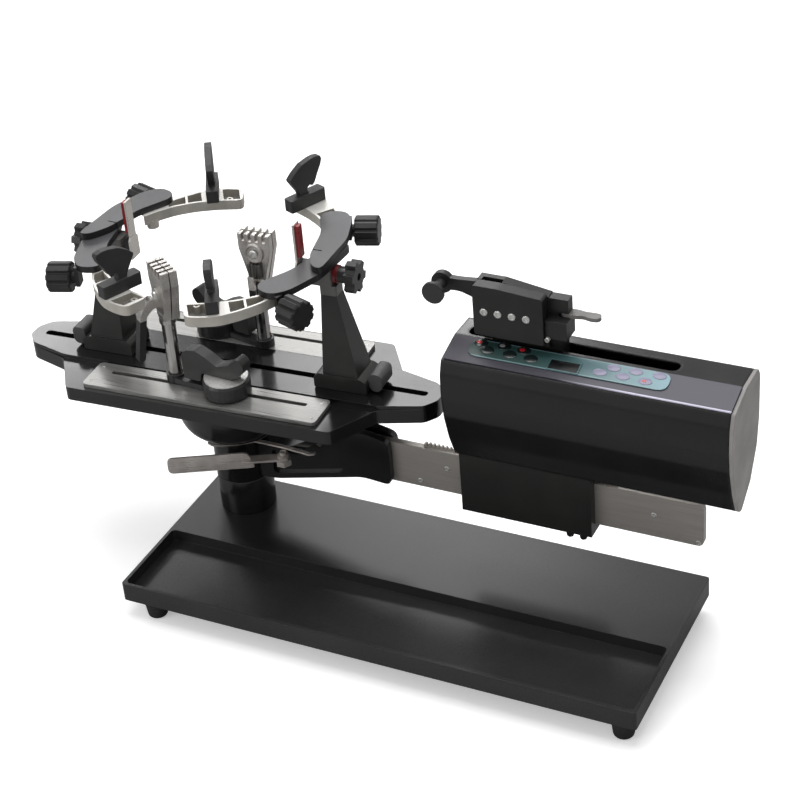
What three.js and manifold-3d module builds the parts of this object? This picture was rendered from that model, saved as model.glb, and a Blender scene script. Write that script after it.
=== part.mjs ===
// Racket stringing machine with an electronic tension head.
// Millimetres, +Z up, +X along the base, +Y to the back.
import * as THREE from "three";
import { mergeVertices } from "three/addons/utils/BufferGeometryUtils.js";
import Module from "manifold-3d";

const wasm = await Module();
wasm.setup();

// General fits
const seat = 0.3;
const weldDistance = 1e-4;
const roundSegments = 28;
const smallRoundSegments = 14;
const arcSteps = 4;
const cornerReachShare = 0.45;

// Base tray and feet. The column axis is the origin of every plan position.
const baseLength = 620;
const baseDepth = 239;
const baseHeight = 23;
const footHeight = 22;
const sheet = 3;
const baseCorner = 4;
const axisFromLeft = 60;
const axisFromFront = 195;
const trayDepth = 14;
const trayRim = 4;
const trayWidth = 106;
const trayCorner = 6;
const footRadius = 14;
const footToeRadius = 11.5;
const footRound = 2;
const footScrewRadius = 4.5;
const footScrewDepth = 5;
const footFromLeft = 34;
const footFromRight = 19;
const footFromEdge = 15;
const bossRadius = 12.6;
const baseLeft = -axisFromLeft;
const baseRight = baseLeft + baseLength;
const baseFront = -axisFromFront;
const baseBack = baseFront + baseDepth;
const trayBack = baseFront + trayRim + trayWidth;
const deckTop = footHeight + baseHeight;

// Column and support arm; the arm's outline is in shares of its reach and of the ring's height.
const columnRadius = 33;
const columnWall = 5;
const columnHeight = 47;
const columnRound = 1.5;
const ringHeight = 53;
const spindleClearance = 1;
const armHalfWidth = 13;
const armReach = 202;
const armSlotStart = 150;
const armCorner = 9;
const armPocketDepth = 4;
const armPocketCorner = 6;
const armOutlineShares = [
  [0, 0.05], [0.25, 0.07], [0.82, 0.62], [1, 0.56], [1, 1.65], [0.85, 1.77], [0.64, 1.64], [0.35, 0.98], [0, 0.98],
];
const armPocketShares = [[0.24, 0.2], [0.7, 0.64], [0.7, 1.5], [0.64, 1.46], [0.37, 0.84], [0.24, 0.84]];
const ringBottom = deckTop + columnHeight + seat;
const ringTop = ringBottom + ringHeight;

// Rack bar
const barThickness = 8;
const barEnd = 568;
const barAboveDeck = 78.6;
const barHeight = 53.4;
const barEndRadius = 8;
const rackStart = 240;
const rackEnd = 470;
const toothPitch = 5;
const toothHeight = 4;
const toothFlankShare = 0.3;
const barBottom = deckTop + barAboveDeck;
const barTop = barBottom + barHeight;

// Turntable body; the outline is in shares of its half length and of the wings' half width.
const railTopAboveDeck = 194;
const turntableYaw = 3;
const turntableThickness = 22;
const wingDrop = 5;
const railHalfLength = 260;
const wingHalfWidth = 94;
const bodyCorner = 5;
const railSlotHalfLength = 244;
const railSlotWidth = 9;
const railSlotDepth = 10;
const pocketDepth = 12;
const pocketCorner = 6;
const bodyOutlineShares = [[1, 0.09], [0.955, 0.255], [0.763, 0.425], [0.634, 1]];
const spineOutlineShares = [[1, 0.09], [0.955, 0.255], [0.763, 0.405]];
const wingPocketShares = [[0.34, 0.12], [0.7, 0.12], [0.7, 0.4], [0.6, 0.9], [0.34, 0.9]];
const tipPocketShares = [[0.76, -0.22], [0.92, -0.14], [0.92, 0.14], [0.76, 0.22]];
const railTop = deckTop + railTopAboveDeck;

// Turntable hub: the bowl's outside in shares of its top radius and height
const hubTopRadius = 70;
const hubHeight = 63;
const hubWall = 5;
const spindleRadius = 11;
const spindleLength = 55;
const spindleChamfer = 1;
const hubOutlineShares = [[0.55, 0], [0.72, 0.07], [0.86, 0.2], [0.93, 0.34], [0.97, 0.62], [1, 0.97], [1, 1]];

// Steel clamp rails on the wings
const clampRailThickness = 5;
const clampRailHalfLength = 146;
const clampSlotHalfLength = 123;
const clampSlotWidth = 6;
const clampRailCorner = 6;
const frontRailInner = 41.4;
const frontRailOuter = 88.5;
const frontSlotAt = 57.5;
const rearRailInner = 38.4;
const rearRailOuter = 85;
const rearSlotAt = 68;

// Turntable brake
const stripThickness = 2;
const stripWidth = 5;
const stripFrontShares = [
  [-0.62, -1.2], [-0.4, -1.28], [-0.02, -1.18], [0.43, -0.93], [0.92, -0.56], [1.98, -0.56], [3.11, -0.66],
  [3.29, -0.57],
];
const boltAtX = 70;
const boltAtY = -23.5;
const boltRadius = 4;
const boltHeadRadius = 7;
const boltHeadHeight = 3;
const nutRadius = 9.5;
const nutHeight = 7;
const nutSides = 6;
const leverThickness = 2.5;
const leverWidth = 13;
const leverBelowStrip = 7;
const leverArm = 47.5;
const leverArmTurn = 206;
const paddleLength = 93;
const paddleHeight = 21;
const paddleTurn = 1;
const paddleRise = 12;

// Towers and their locks, placed by distance from the middle of the turntable
const pivotAt = 132.5;
const footInner = 116;
const footOuter = 180;
const towerFootHeight = 19;
const towerFootHalfWidth = 21;
const towerFootCorner = 5;
const pillarInnerLow = 127;
const pillarOuterLow = 171;
const pillarHalfWidthLow = 19;
const pillarInnerHigh = 130;
const pillarOuterHigh = 148;
const pillarHalfWidthHigh = 8.5;
const pillarTop = 118;
const headInner = 129;
const headOuter = 149.5;
const headTop = 127.5;
const headHalfWidth = 9.5;
const headCorner = 3;
const bearingInner = 113.5;
const bearingOuter = 145;
const bearingTop = 148.4;
const bearingHalfWidth = 11;
const screwAtHeight = 138.5;
const screwRadius = 4;
const screwClearance = 0.5;
const pinRadius = 5;
const lockClearance = 0.4;
const lockThickness = 16;
const lockHalfWidth = 15;
const lockBottom = 2.3;
const lockHeight = 22;
const lockCamRadius = 8;
const lockCorner = 14;

// Side arms: outline in shares of the reach from the pivot to the far end
const sideArmReach = 90;
const sideArmThickness = 7.7;
const frontArmBottom = 149.3;
const rearArmBottom = 157.3;
const sideArmCorner = 9;
const sideArmBore = 5.5;
const sideArmRoof = 2;
const sideArmSlit = 1.6;
const sideArmSwing = 7.2;
const sideArmShares = [
  [0.028, -0.378], [0.161, -0.4], [0.178, 0.356], [0.039, 0.833], [-0.117, 1],
  [-0.328, 0.956], [-0.394, 0.811], [-0.194, 0.4], [-0.106, -0.133],
];
const lugDrop = 20;
const lugThickness = 4.5;
const lugWidth = 14;

// Extension castings under the side arms: a pocketed crescent, in shares of its length from the root
const extensionLength = 93;
const extensionHeight = 12;
const extensionCorner = 8;
const extensionWall = 2.6;
const extensionFloor = 3;
const extensionShares = [
  [-0.27, 0.29], [-0.09, 0.19], [0.13, 0.11], [0.38, 0.08], [0.65, 0.1], [0.97, 0.17], [1, -0.13],
  [0.82, -0.2], [0.62, -0.23], [0.4, -0.19], [0.15, -0.1], [-0.04, 0.01], [-0.24, 0.14],
];
const extensionPocketShares = [[0.06, 0.27], [0.3, 0.47], [0.74, 0.94]];
const extensionNutRadius = 7;
const extensionNutHeight = 7;
const extensionNutShare = [-0.16, 0.17];

// The four hangers, mirrored from the right rear; places in plan are from the turntable's middle
const frontRoot = [107.7, 83.3];
const hookTurn = 63.4;
const hangerSpots = {
  right_rear: { sign: [1, 1], root: [122, 66], armBottom: rearArmBottom, swing: 0, turn: 141, hook: [64, 106] },
  left_rear: {
    sign: [-1, 1], root: [97.7, 66.6], armBottom: rearArmBottom, swing: sideArmSwing, turn: 150, hook: [52.5, 103.6],
  },
  right_front: {
    sign: [1, -1], root: frontRoot, armBottom: frontArmBottom, swing: sideArmSwing, turn: 148, hook: [52.9, 108.7],
  },
  left_front: { sign: [-1, -1], root: frontRoot, armBottom: frontArmBottom, swing: 0, turn: 149, hook: [58, 110] },
};

// Hooks: a block on the casting and a curved blade above it, in shares of the block's length
const hookBlockLength = 49;
const hookBlockWidth = 14;
const hookBlockHeight = 15;
const hookBladeThickness = 8;
const hookBlockCorner = 2;
const hookBladeShares = [
  [0.33, 0], [0.3, 0.1], [0.09, 0.44], [0.08, 0.49], [0.2, 0.6], [0.33, 0.69], [0.45, 0.76], [0.7, 0.82],
  [0.85, 0.83], [0.99, 0.8], [1.02, 0.73], [0.98, 0.6], [0.87, 0.42], [0.76, 0.21], [0.69, 0.16],
  [0.62, 0.2], [0.56, 0.17], [0.53, 0.11], [0.57, 0],
];

// Fluted clamping knobs
const knobRadius = 17.2;
const knobLength = 27;
const knobFlutes = 10;
const knobFluteShare = 0.88;
const knobEdge = 1.5;
const knobNeckRadius = 7;
const knobNeckLength = 4;
const knobTurn = 15;
const knobAtSide = 148;
const knobAtBack = 86;
const knobBelowArm = 11;

// Centre holders and their star knobs
const holderAt = 102;
const holderThickness = 2.5;
const holderHalfWidth = 6;
const holderHalfWidthLow = 9;
const holderBottom = 124;
const holderTop = 195;
const holderNarrowFrom = 150;
const padWidth = 9;
const padThickness = 4.5;
const padBottom = 155;
const padTop = 193;
const bracketLength = 5.5;
const bracketBottom = 126;
const bracketTop = 147;
const screwEnd = 160;
const collarLength = 4.5;
const collarRadius = 10.4;
const starStart = 162;
const starLength = 12;
const starRadius = 18.5;
const starLobes = 6;
const starLobeShare = 0.74;
const starNeckRadius = 9.3;
const lobeSteps = [[0, false], [0.4, false], [0.55, true], [0.85, true]];

// String clamps
const cupRadius = 27;
const cupHeight = 20;
const cupDiscRadius = 25;
const cupDiscHeight = 2;
const cupRound = 2.5;
const clampArmWidth = 20;
const clampArmTop = 7;
const socketRadius = 11;
const socketTop = 10;
const postFloor = 2;
const postRadius = 8;
const postTop = 84;
const postShoulder = 9.5;
const postShoulderHeight = 8;
const camReach = 53;
const camWidth = 15;
const camCorner = 3.75;
const camShares = [
  [1, -0.23], [1, 0.36], [0.9, 0.47], [0.62, 0.53], [0.38, 0.42], [0.11, 0.25], [-0.19, 0.36], [-0.43, 0.58],
  [-0.58, 0.45], [-0.57, 0.28], [-0.42, 0.11], [-0.19, 0], [0.53, 0], [0.57, -0.23],
];
const headHeight = 66;
const headTopWidth = 39;
const headBottomWidth = 16;
const headThickness = 9;
const headGap = 1.2;
const combTeeth = 5;
const combDepth = 9;
const combToothShare = 0.56;
const headOverhang = 6;
const jawRise = 1.2;
const jawBossRadius = 9;
const jawBossHeight = 3;
const handleLength = 72;
const handleWidth = 11;
const handleThickness = 6;
const handleAt = -9;
const handleRootHeight = 10;
const handleLeanShares = [
  [0, 1], [0.06, 1.04], [0.14, 1], [0.28, 0.82], [0.42, 0.02], [0.37, 0], [0.31, 0.02], [0.18, 0.76], [0.06, 0.86],
  [0, 0.86],
];
const clampSpots = {
  front: { cup: [26, -58], post: [-43.5, -49], turn: -38 },
  rear: { cup: [-45, 64], post: [23, 46], turn: 0 },
};

// Trolley on the rack bar
const trolleyLeft = 291;
const trolleyRight = 445;
const trolleyHalfWidth = 16;
const trolleyAboveDeck = 68;
const slotSideGap = 0.6;
const slotTopGap = 6;
const slotBottomGap = 0.8;

// Housing of the tension head: cross-section from front to back, heights above the deck
const housingLeft = 288;
const housingRight = 606;
const housingWall = 3;
const housingDepth = 92;
const housingRise = 149;
const housingFoot = 141.5;
const endThickness = 4;
const housingSectionShares = [
  [-0.196, 0.023], [-0.337, 0.225], [-0.435, 0.44], [-0.473, 0.627], [-0.462, 0.809], [-0.402, 0.917],
  [0.011, 0.985], [0.424, 0.979], [0.496, 0.909], [0.5, 0.567], [0.435, 0.346], [0.212, 0.124], [-0.098, 0],
];
const sectionPlaces = { underFront: 0, panelLow: 5, panelHigh: 6, rearHigh: 10, rearLow: 11, lowest: 12 };
const housingCorner = 3;
const carriageSlotLeft = 300;
const carriageSlotRight = 535;
const carriageSlotFront = 5;
const carriageSlotBack = 24;

// Control panel and keypad on the sloping front of the top
const panelStart = 1;
const panelEnd = 37;
const panelThickness = 1.8;
const panelLeft = 290;
const panelCorner = 2;
const keypadStart = 11;
const keypadEnd = 35;
const keypadLeft = 312;
const keypadRight = 534;
const keypadCorner = 11;
const keypadThickness = 1;
const screenLeft = 405;
const screenRight = 437;
const screenStart = 12;
const screenEnd = 25;
const screenFrame = 1.6;
const screenFrameHeight = 1;

// Power inlet and switch on the rear lower face
const inletAt = 584;
const inletWidth = 28;
const inletHeight = 20;
const inletFlange = 3;
const inletFlangeThickness = 2;
const inletDepth = 14;
const inletWall = 2;
const pinLength = 9;
const pinWidth = 4;
const pinThickness = 2;
const pinSpacing = 7;
const switchAt = 548;
const switchWidth = 13;
const switchLength = 19;
const switchDepth = 9;
const rockerTilt = 7;
const rearFaceMiddle = 0.5;

// String gripper: heights are above the deck
const gripperLeft = 318;
const gripperRight = 397;
const gripperHalfDepth = 14;
const gripperBaseAboveDeck = 292.6;
const gripperBaseHeight = 9;
const gripperJawHeight = 60;
const gripperGap = 1;
const gripperEndDrop = 8;
const entryLeft = 323;
const entryRight = 346;
const entryDepth = 6;
const entryHeight = 40;
const stemDepth = 20;
const stemLeft = 330;
const stemRight = 410;
const stepRight = 421;
const stepDepth = 21;
const jawRiseAboveBase = 10;
const stepFront = -10;
const stepHeight = 30;
const blockRight = 419;
const blockFront = 1.5;
const blockHeight = 51;
const leverSlotLeft = 408;
const leverClearance = 0.5;
const gripperLeverThickness = 4.2;
const leverPivotX = 415;
const leverPivotY = 8;
const leverRootRadius = 6;
const leverPinRadius = 2.2;
const leverReach = 38;
const leverOutlineShares = [
  [0, -0.16], [0.3, -0.17], [0.52, -0.1], [0.72, -0.17], [0.95, -0.14], [1, 0], [0.93, 0.15], [0.72, 0.15],
  [0.5, 0.13], [0.3, 0.18], [0, 0.16],
];
const rollerAt = 273;
const rollerAboveJawBase = 42.5;
const rollerRadius = 6;
const rollerDiscRadius = 12.5;
const rollerHalfWidth = 11.5;
const rollerDiscThickness = 4;
const rollerArmFront = 8;
const rollerArmBack = 15.5;
const rollerArmHeight = 15;
const rollerArmCorner = 5;
const rollerArmShares = [
  [0, -0.5], [0.45, -0.42], [0.8, -0.75], [1, -1.3], [1.1, -1.3], [1.1, 0.75], [0.9, 0.62], [0.45, 0.5], [0, 0.5],
];

// Finishes
const glossBlack = { color: "#141414", roughness: 0.12, metalness: 0 };
const satinGrey = { color: "#8a8a8d", roughness: 0.45, metalness: 0 };
const satinBlack = { color: "#2a2a2a", roughness: 0.5, metalness: 0 };
const steel = { color: "#c9c9c9", roughness: 0.3, metalness: 1 };
const cast = { color: "#bdb9b0", roughness: 0.5, metalness: 0.8 };
const rubber = { color: "#181818", roughness: 0.9, metalness: 0 };
const plastic = { color: "#1f1f20", roughness: 0.35, metalness: 0 };
const paleGrey = { color: "#b8b8ba", roughness: 0.5, metalness: 0 };
const fascia = { color: "#5b5560", roughness: 0.4, metalness: 0 };
const teal = { color: "#2fa9b8", roughness: 0.4, metalness: 0 };

// The volume that the faces enclose, negative when they point inward.
function signedVolume(corners, faces) {
  const [a, b, c] = [new THREE.Vector3(), new THREE.Vector3(), new THREE.Vector3()];
  let total = 0;
  for (let i = 0; i < faces.length; i += 3) {
    a.fromArray(corners, faces[i] * 3);
    b.fromArray(corners, faces[i + 1] * 3);
    c.fromArray(corners, faces[i + 2] * 3);
    total += a.dot(b.cross(c));
  }
  return total;
}

// A solid body from a closed geometry: corners are shared, empty faces dropped, faces turned outward.
function solid(geometry) {
  geometry.deleteAttribute("normal");
  geometry.deleteAttribute("uv");
  const merged = mergeVertices(geometry, weldDistance);
  const corners = Float32Array.from(merged.attributes.position.array);
  const faces = [];
  for (let i = 0; i < merged.index.count; i += 3) {
    const face = [merged.index.getX(i), merged.index.getX(i + 1), merged.index.getX(i + 2)];
    if (new Set(face).size === 3) {
      faces.push(...face);
    }
  }
  if (signedVolume(corners, faces) < 0) {
    faces.reverse();
  }
  const mesh = new wasm.Mesh({ numProp: 3, vertProperties: corners, triVerts: Uint32Array.from(faces) });
  return new wasm.Manifold(mesh);
}

// The three.js geometry of a solid body.
function geometryOf(body) {
  const mesh = body.getMesh();
  const geometry = new THREE.BufferGeometry();
  geometry.setAttribute("position", new THREE.BufferAttribute(mesh.vertProperties, 3));
  geometry.setIndex(new THREE.BufferAttribute(mesh.triVerts, 1));
  return geometry;
}

// The same body carried by a matrix; a mirror is allowed.
function moved(body, matrix) {
  return solid(geometryOf(body).applyMatrix4(matrix));
}

function join(...bodies) {
  return bodies.reduce((sum, body) => sum.add(body));
}

function cut(body, ...tools) {
  return tools.reduce((rest, tool) => rest.subtract(tool), body);
}

// One named piece with its own material.
function piece(name, body, finish) {
  const geometry = geometryOf(body);
  geometry.computeVertexNormals();
  const mesh = new THREE.Mesh(geometry, new THREE.MeshStandardMaterial(finish));
  mesh.name = name;
  return mesh;
}

// A closed outline with its corners rounded, by less where an edge is short.
function rounded(points, radius) {
  const corners = points.map(([x, y]) => new THREE.Vector2(x, y));
  const shape = new THREE.Shape();
  corners.forEach((corner, index) => {
    const before = corners[(index + corners.length - 1) % corners.length];
    const after = corners[(index + 1) % corners.length];
    const start = corner.clone().lerp(before, Math.min(radius / corner.distanceTo(before), cornerReachShare));
    const end = corner.clone().lerp(after, Math.min(radius / corner.distanceTo(after), cornerReachShare));
    if (index === 0) {
      shape.moveTo(start.x, start.y);
    } else {
      shape.lineTo(start.x, start.y);
    }
    shape.quadraticCurveTo(corner.x, corner.y, end.x, end.y);
  });
  shape.closePath();
  return shape;
}

function polygon(points) {
  return new THREE.Shape(points.map(([x, y]) => new THREE.Vector2(x, y)));
}

function rectangle(left, right, bottom, top, radius) {
  return rounded([[left, bottom], [right, bottom], [right, top], [left, top]], radius);
}

// Points given in shares of a width and a height, from a starting corner.
function scaled(shares, width, height, left = 0, bottom = 0) {
  return shares.map(([x, y]) => [left + x * width, bottom + y * height]);
}

function extruded(shape, length) {
  return new THREE.ExtrudeGeometry(shape, { depth: length, bevelEnabled: false, curveSegments: arcSteps });
}

// An outline in plan, raised from one height to another.
function upright(shape, bottom, top) {
  return solid(extruded(shape, top - bottom).translate(0, 0, bottom));
}

// An outline in X and Z, carried along Y.
function across(shape, front, back) {
  return solid(extruded(shape, back - front).rotateX(Math.PI / 2).translate(0, back, 0));
}

// An outline in Y and Z, carried along X.
function along(shape, left, right) {
  const turn = new THREE.Matrix4().set(0, 0, 1, 0, 1, 0, 0, 0, 0, 1, 0, 0, 0, 0, 0, 1);
  return solid(extruded(shape, right - left).applyMatrix4(turn).translate(left, 0, 0));
}

function box(left, right, front, back, bottom, top) {
  const geometry = new THREE.BoxGeometry(right - left, back - front, top - bottom);
  return solid(geometry.translate((left + right) / 2, (front + back) / 2, (bottom + top) / 2));
}

// A profile of [radius, height] points turned about the vertical axis.
function turned(profile, segments = roundSegments) {
  const points = profile.map(([radius, height]) => new THREE.Vector2(radius, height));
  return solid(new THREE.LatheGeometry(points, segments).rotateX(Math.PI / 2));
}

function rodUp(radius, bottom, top, x = 0, y = 0, segments = smallRoundSegments) {
  const geometry = new THREE.CylinderGeometry(radius, radius, top - bottom, segments).rotateX(Math.PI / 2);
  return solid(geometry.translate(x, y, (bottom + top) / 2));
}

function rodAlong(radius, left, right, y, z, segments = smallRoundSegments) {
  const geometry = new THREE.CylinderGeometry(radius, radius, right - left, segments).rotateZ(Math.PI / 2);
  return solid(geometry.translate((left + right) / 2, y, z));
}

function rodAcross(radius, front, back, x, z, segments = smallRoundSegments) {
  const geometry = new THREE.CylinderGeometry(radius, radius, back - front, segments);
  return solid(geometry.translate(x, (front + back) / 2, z));
}

// A straight-sided body between two outlines with the same number of corners.
function lofted(low, bottom, high, top) {
  const count = low.length;
  const corners = [...low.map(([x, y]) => [x, y, bottom]), ...high.map(([x, y]) => [x, y, top])];
  const faces = [];
  for (let i = 0; i < count; i += 1) {
    const next = (i + 1) % count;
    faces.push(i, next, count + next, i, count + next, count + i);
  }
  for (let i = 1; i < count - 1; i += 1) {
    faces.push(0, i + 1, i, count, count + i, count + i + 1);
  }
  const geometry = new THREE.BufferGeometry();
  geometry.setAttribute("position", new THREE.Float32BufferAttribute(corners.flat(), 3));
  geometry.setIndex(faces);
  return solid(geometry);
}

const mirrorX = new THREE.Matrix4().makeScale(-1, 1, 1);
const mirrorY = new THREE.Matrix4().makeScale(1, -1, 1);

// A matrix that turns about the vertical by degrees, then carries to a place.
function placeAt(x, y, z, degrees = 0) {
  const turn = new THREE.Matrix4().makeRotationZ(THREE.MathUtils.degToRad(degrees));
  return new THREE.Matrix4().makeTranslation(x, y, z).multiply(turn);
}

// Base: folded deck and tray in one shell, with a boss over each foot.
const footSpots = {
  front_left: [baseLeft + footFromLeft, baseFront + footFromEdge],
  front_right: [baseRight - footFromRight, baseFront + footFromEdge],
  rear_left: [baseLeft + footFromLeft, baseBack - footFromEdge],
  rear_right: [baseRight - footFromRight, baseBack - footFromEdge],
};

function baseTray() {
  const trayFloor = deckTop - trayDepth;
  const outer = upright(rectangle(baseLeft, baseRight, baseFront, baseBack, baseCorner), footHeight, deckTop);
  const tray = upright(
    rectangle(baseLeft + trayRim, baseRight - trayRim, baseFront + trayRim, trayBack, trayCorner),
    trayFloor, deckTop + sheet,
  );
  const left = baseLeft + sheet;
  const right = baseRight - sheet;
  const underDeck = box(left, right, trayBack + sheet, baseBack - sheet, footHeight - sheet, deckTop - sheet);
  const underTray = box(left, right, baseFront + sheet, trayBack + 2 * sheet, footHeight - sheet, trayFloor - sheet);
  const bosses = Object.values(footSpots).map(([x, y]) => {
    const top = y > trayBack ? deckTop - sheet / 2 : trayFloor - sheet / 2;
    return rodUp(bossRadius, footHeight, top, x, y);
  });
  return join(cut(outer, tray, underDeck, underTray), ...bosses);
}

// Foot: tapered rubber with a rounded toe and a deep screw recess.
function foot([x, y]) {
  const top = footHeight - seat;
  const profile = [
    [0, footScrewDepth], [footScrewRadius, footScrewDepth], [footScrewRadius, 0], [footToeRadius - footRound, 0],
    [footToeRadius, footRound], [footRadius, top - footRound], [footRadius, top], [0, top],
  ];
  return moved(turned(profile, smallRoundSegments), placeAt(x, y, 0));
}

function column() {
  const bottom = deckTop + seat;
  const top = deckTop + columnHeight;
  return turned([
    [0, top - columnWall], [columnRadius - columnWall, top - columnWall], [columnRadius - columnWall, bottom],
    [columnRadius, bottom], [columnRadius, top - columnRound], [columnRadius - columnRound, top], [0, top],
  ]);
}

// Support arm: ring on the column, rising arm with pocketed cheeks, slot for the rack bar.
function supportArm() {
  const ring = rodUp(columnRadius, ringBottom, ringTop, 0, 0, roundSegments);
  const side = scaled(armOutlineShares, armReach, ringHeight, 0, ringBottom);
  const arm = across(rounded(side, armCorner), -armHalfWidth, armHalfWidth);
  const bore = rodUp(spindleRadius + spindleClearance, ringBottom - seat, ringTop + seat);
  const slotHalf = barThickness / 2 + seat;
  const slot = box(armSlotStart, 2 * armReach, -slotHalf, slotHalf, ringBottom - ringHeight, 2 * ringTop);
  const pocketSide = rounded(scaled(armPocketShares, armReach, ringHeight, 0, ringBottom), armPocketCorner);
  const backPocket = across(pocketSide, armHalfWidth - armPocketDepth, armHalfWidth + armPocketDepth);
  return cut(join(ring, arm), bore, slot, backPocket, moved(backPocket, mirrorY));
}

// Rack bar: flat bar with a rounded end and a row of gear teeth on the rear half of its top edge.
function rackBar() {
  const left = armSlotStart + seat;
  const bar = across(
    rounded([[left, barBottom], [barEnd, barBottom], [barEnd, barTop], [left, barTop]], barEndRadius),
    -barThickness / 2, barThickness / 2,
  );
  const teeth = [[rackStart, barTop - toothHeight]];
  for (let x = rackEnd; x > rackStart; x -= toothPitch) {
    teeth.push([x, barTop]);
    teeth.push([x - toothFlankShare * toothPitch, barTop + toothHeight]);
    teeth.push([x - (1 - toothFlankShare) * toothPitch, barTop + toothHeight]);
  }
  teeth.push([rackStart, barTop]);
  teeth.splice(1, 0, [rackEnd, barTop - toothHeight]);
  return join(bar, across(polygon(teeth), 0, barThickness / 2));
}

// The full outline of the turntable from the corners of one quarter.
function fourfold(shares) {
  const quarter = scaled(shares, railHalfLength, wingHalfWidth);
  const back = [...quarter, ...quarter.map(([x, y]) => [-x, y]).reverse()];
  return [...back, ...back.map(([x, y]) => [x, -y]).reverse()];
}

// Turntable body: wings below, spine above with the tower slot, lightening pockets underneath.
function turntableBody() {
  const wings = upright(rounded(fourfold(bodyOutlineShares), bodyCorner), -turntableThickness, -wingDrop);
  const spine = upright(rounded(fourfold(spineOutlineShares), bodyCorner), -turntableThickness / 2, 0);
  const slotHalf = railSlotWidth / 2;
  const slot = upright(
    rectangle(-railSlotHalfLength, railSlotHalfLength, -slotHalf, slotHalf, slotHalf),
    -railSlotDepth, railSlotDepth,
  );
  const pocketTop = -turntableThickness + pocketDepth;
  const wingPocket = upright(
    rounded(scaled(wingPocketShares, railHalfLength, wingHalfWidth), pocketCorner),
    -2 * turntableThickness, pocketTop,
  );
  const tipPocket = upright(
    rounded(scaled(tipPocketShares, railHalfLength, wingHalfWidth), pocketCorner),
    -2 * turntableThickness, pocketTop - wingDrop,
  );
  const rightPockets = [wingPocket, moved(wingPocket, mirrorY), tipPocket];
  const leftPockets = rightPockets.map((pocket) => moved(pocket, mirrorX));
  return cut(join(wings, spine), slot, ...rightPockets, ...leftPockets);
}

// Hub: open bowl under the turntable with the spindle that turns in the support arm.
function hub() {
  const top = -turntableThickness - seat;
  const bottom = top - hubHeight;
  const outer = scaled(hubOutlineShares, hubTopRadius, hubHeight, 0, bottom);
  const inner = outer.map(([radius, height]) => [radius - hubWall, Math.max(height, bottom + hubWall)]).reverse();
  return turned([
    [0, bottom - spindleLength], [spindleRadius - spindleChamfer, bottom - spindleLength],
    [spindleRadius, bottom - spindleLength + spindleChamfer], [spindleRadius, bottom],
    ...outer, ...inner, [0, bottom + hubWall],
  ]);
}

// Steel clamp rail: a flat plate with one long slot, between two distances from the middle.
function clampRail(near, far, slotAt) {
  const plate = rectangle(-clampRailHalfLength, clampRailHalfLength, near, far, clampRailCorner);
  const slotHalf = clampSlotWidth / 2;
  const slot = rectangle(-clampSlotHalfLength, clampSlotHalfLength, slotAt - slotHalf, slotAt + slotHalf, slotHalf);
  const bottom = seat - clampRailThickness;
  return cut(upright(plate, bottom, 0), upright(slot, 2 * bottom, -bottom));
}

// Tower on the right: foot, tapering pillar, head, screw bearing and the upright pin of the side arms.
function rightTower() {
  const footSide = rounded(
    [
      [footInner, seat], [footOuter, seat], [footOuter, towerFootHeight - towerFootCorner],
      [pillarOuterLow, towerFootHeight], [footInner + towerFootCorner, towerFootHeight],
      [footInner, towerFootHeight - towerFootCorner],
    ],
    towerFootCorner / 2,
  );
  const foot = across(footSide, -towerFootHalfWidth, towerFootHalfWidth);
  const plan = (inner, outer, half) => [[inner, -half], [outer, -half], [outer, half], [inner, half]];
  const pillar = lofted(
    plan(pillarInnerLow, pillarOuterLow, pillarHalfWidthLow), towerFootHeight - towerFootCorner,
    plan(pillarInnerHigh, pillarOuterHigh, pillarHalfWidthHigh), pillarTop,
  );
  const head = upright(
    rectangle(headInner, headOuter, -headHalfWidth, headHalfWidth, headCorner), pillarTop - headCorner, headTop,
  );
  const bearing = upright(
    rectangle(bearingInner, bearingOuter, -bearingHalfWidth, bearingHalfWidth, headCorner), headTop - seat,
    bearingTop,
  );
  const pinTop = rearArmBottom + sideArmThickness - sideArmRoof - seat;
  const pin = rodUp(pinRadius, bearingTop - seat, pinTop, pivotAt);
  const bore = rodAlong(screwRadius + screwClearance, bearingInner - seat, bearingOuter + seat, 0, screwAtHeight);
  return join(cut(join(foot, pillar, head, bearing), bore), pin);
}

// Tower lock on the right: cam against the outer end of the foot, with a domed handle above it.
function rightLock() {
  const inner = footOuter + lockClearance;
  const outer = inner + lockThickness;
  const top = lockBottom + lockHeight;
  const camHeight = lockBottom + lockCamRadius;
  const handle = rounded([[inner, camHeight], [outer, camHeight], [outer, top], [inner, top]], lockCorner);
  const cam = rodAcross(
    lockCamRadius, -lockHalfWidth, lockHalfWidth, inner + lockCamRadius, camHeight, roundSegments,
  );
  const root = box(inner, outer, -lockHalfWidth, lockHalfWidth, camHeight, (camHeight + top) / 2);
  return join(cam, root, across(handle, -lockHalfWidth, lockHalfWidth));
}

// Side arm of the right rear, about its pivot: crooked slit plate with a lug for the knob's screw.
function sideArm(bottom) {
  const top = bottom + sideArmThickness;
  const plan = rounded(scaled(sideArmShares, sideArmReach, sideArmReach), sideArmCorner);
  const plate = upright(plan, bottom, top);
  const boreTop = Math.min(top + seat, rearArmBottom + sideArmThickness - sideArmRoof);
  const bore = rodUp(sideArmBore, bottom - seat, boreTop);
  const slit = box(-sideArmReach / 2, 0, -sideArmSlit / 2, sideArmSlit / 2, bottom - seat, top + seat);
  const lugEnd = -knobLength / 2 - knobNeckLength - seat;
  const lug = moved(
    box(lugEnd - lugThickness, lugEnd, -lugWidth / 2, lugWidth / 2, bottom - lugDrop, bottom + sideArmThickness / 2),
    placeAt(knobAtSide - pivotAt, knobAtBack, 0, knobTurn),
  );
  return cut(join(plate, lug), bore, slit);
}

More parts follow.
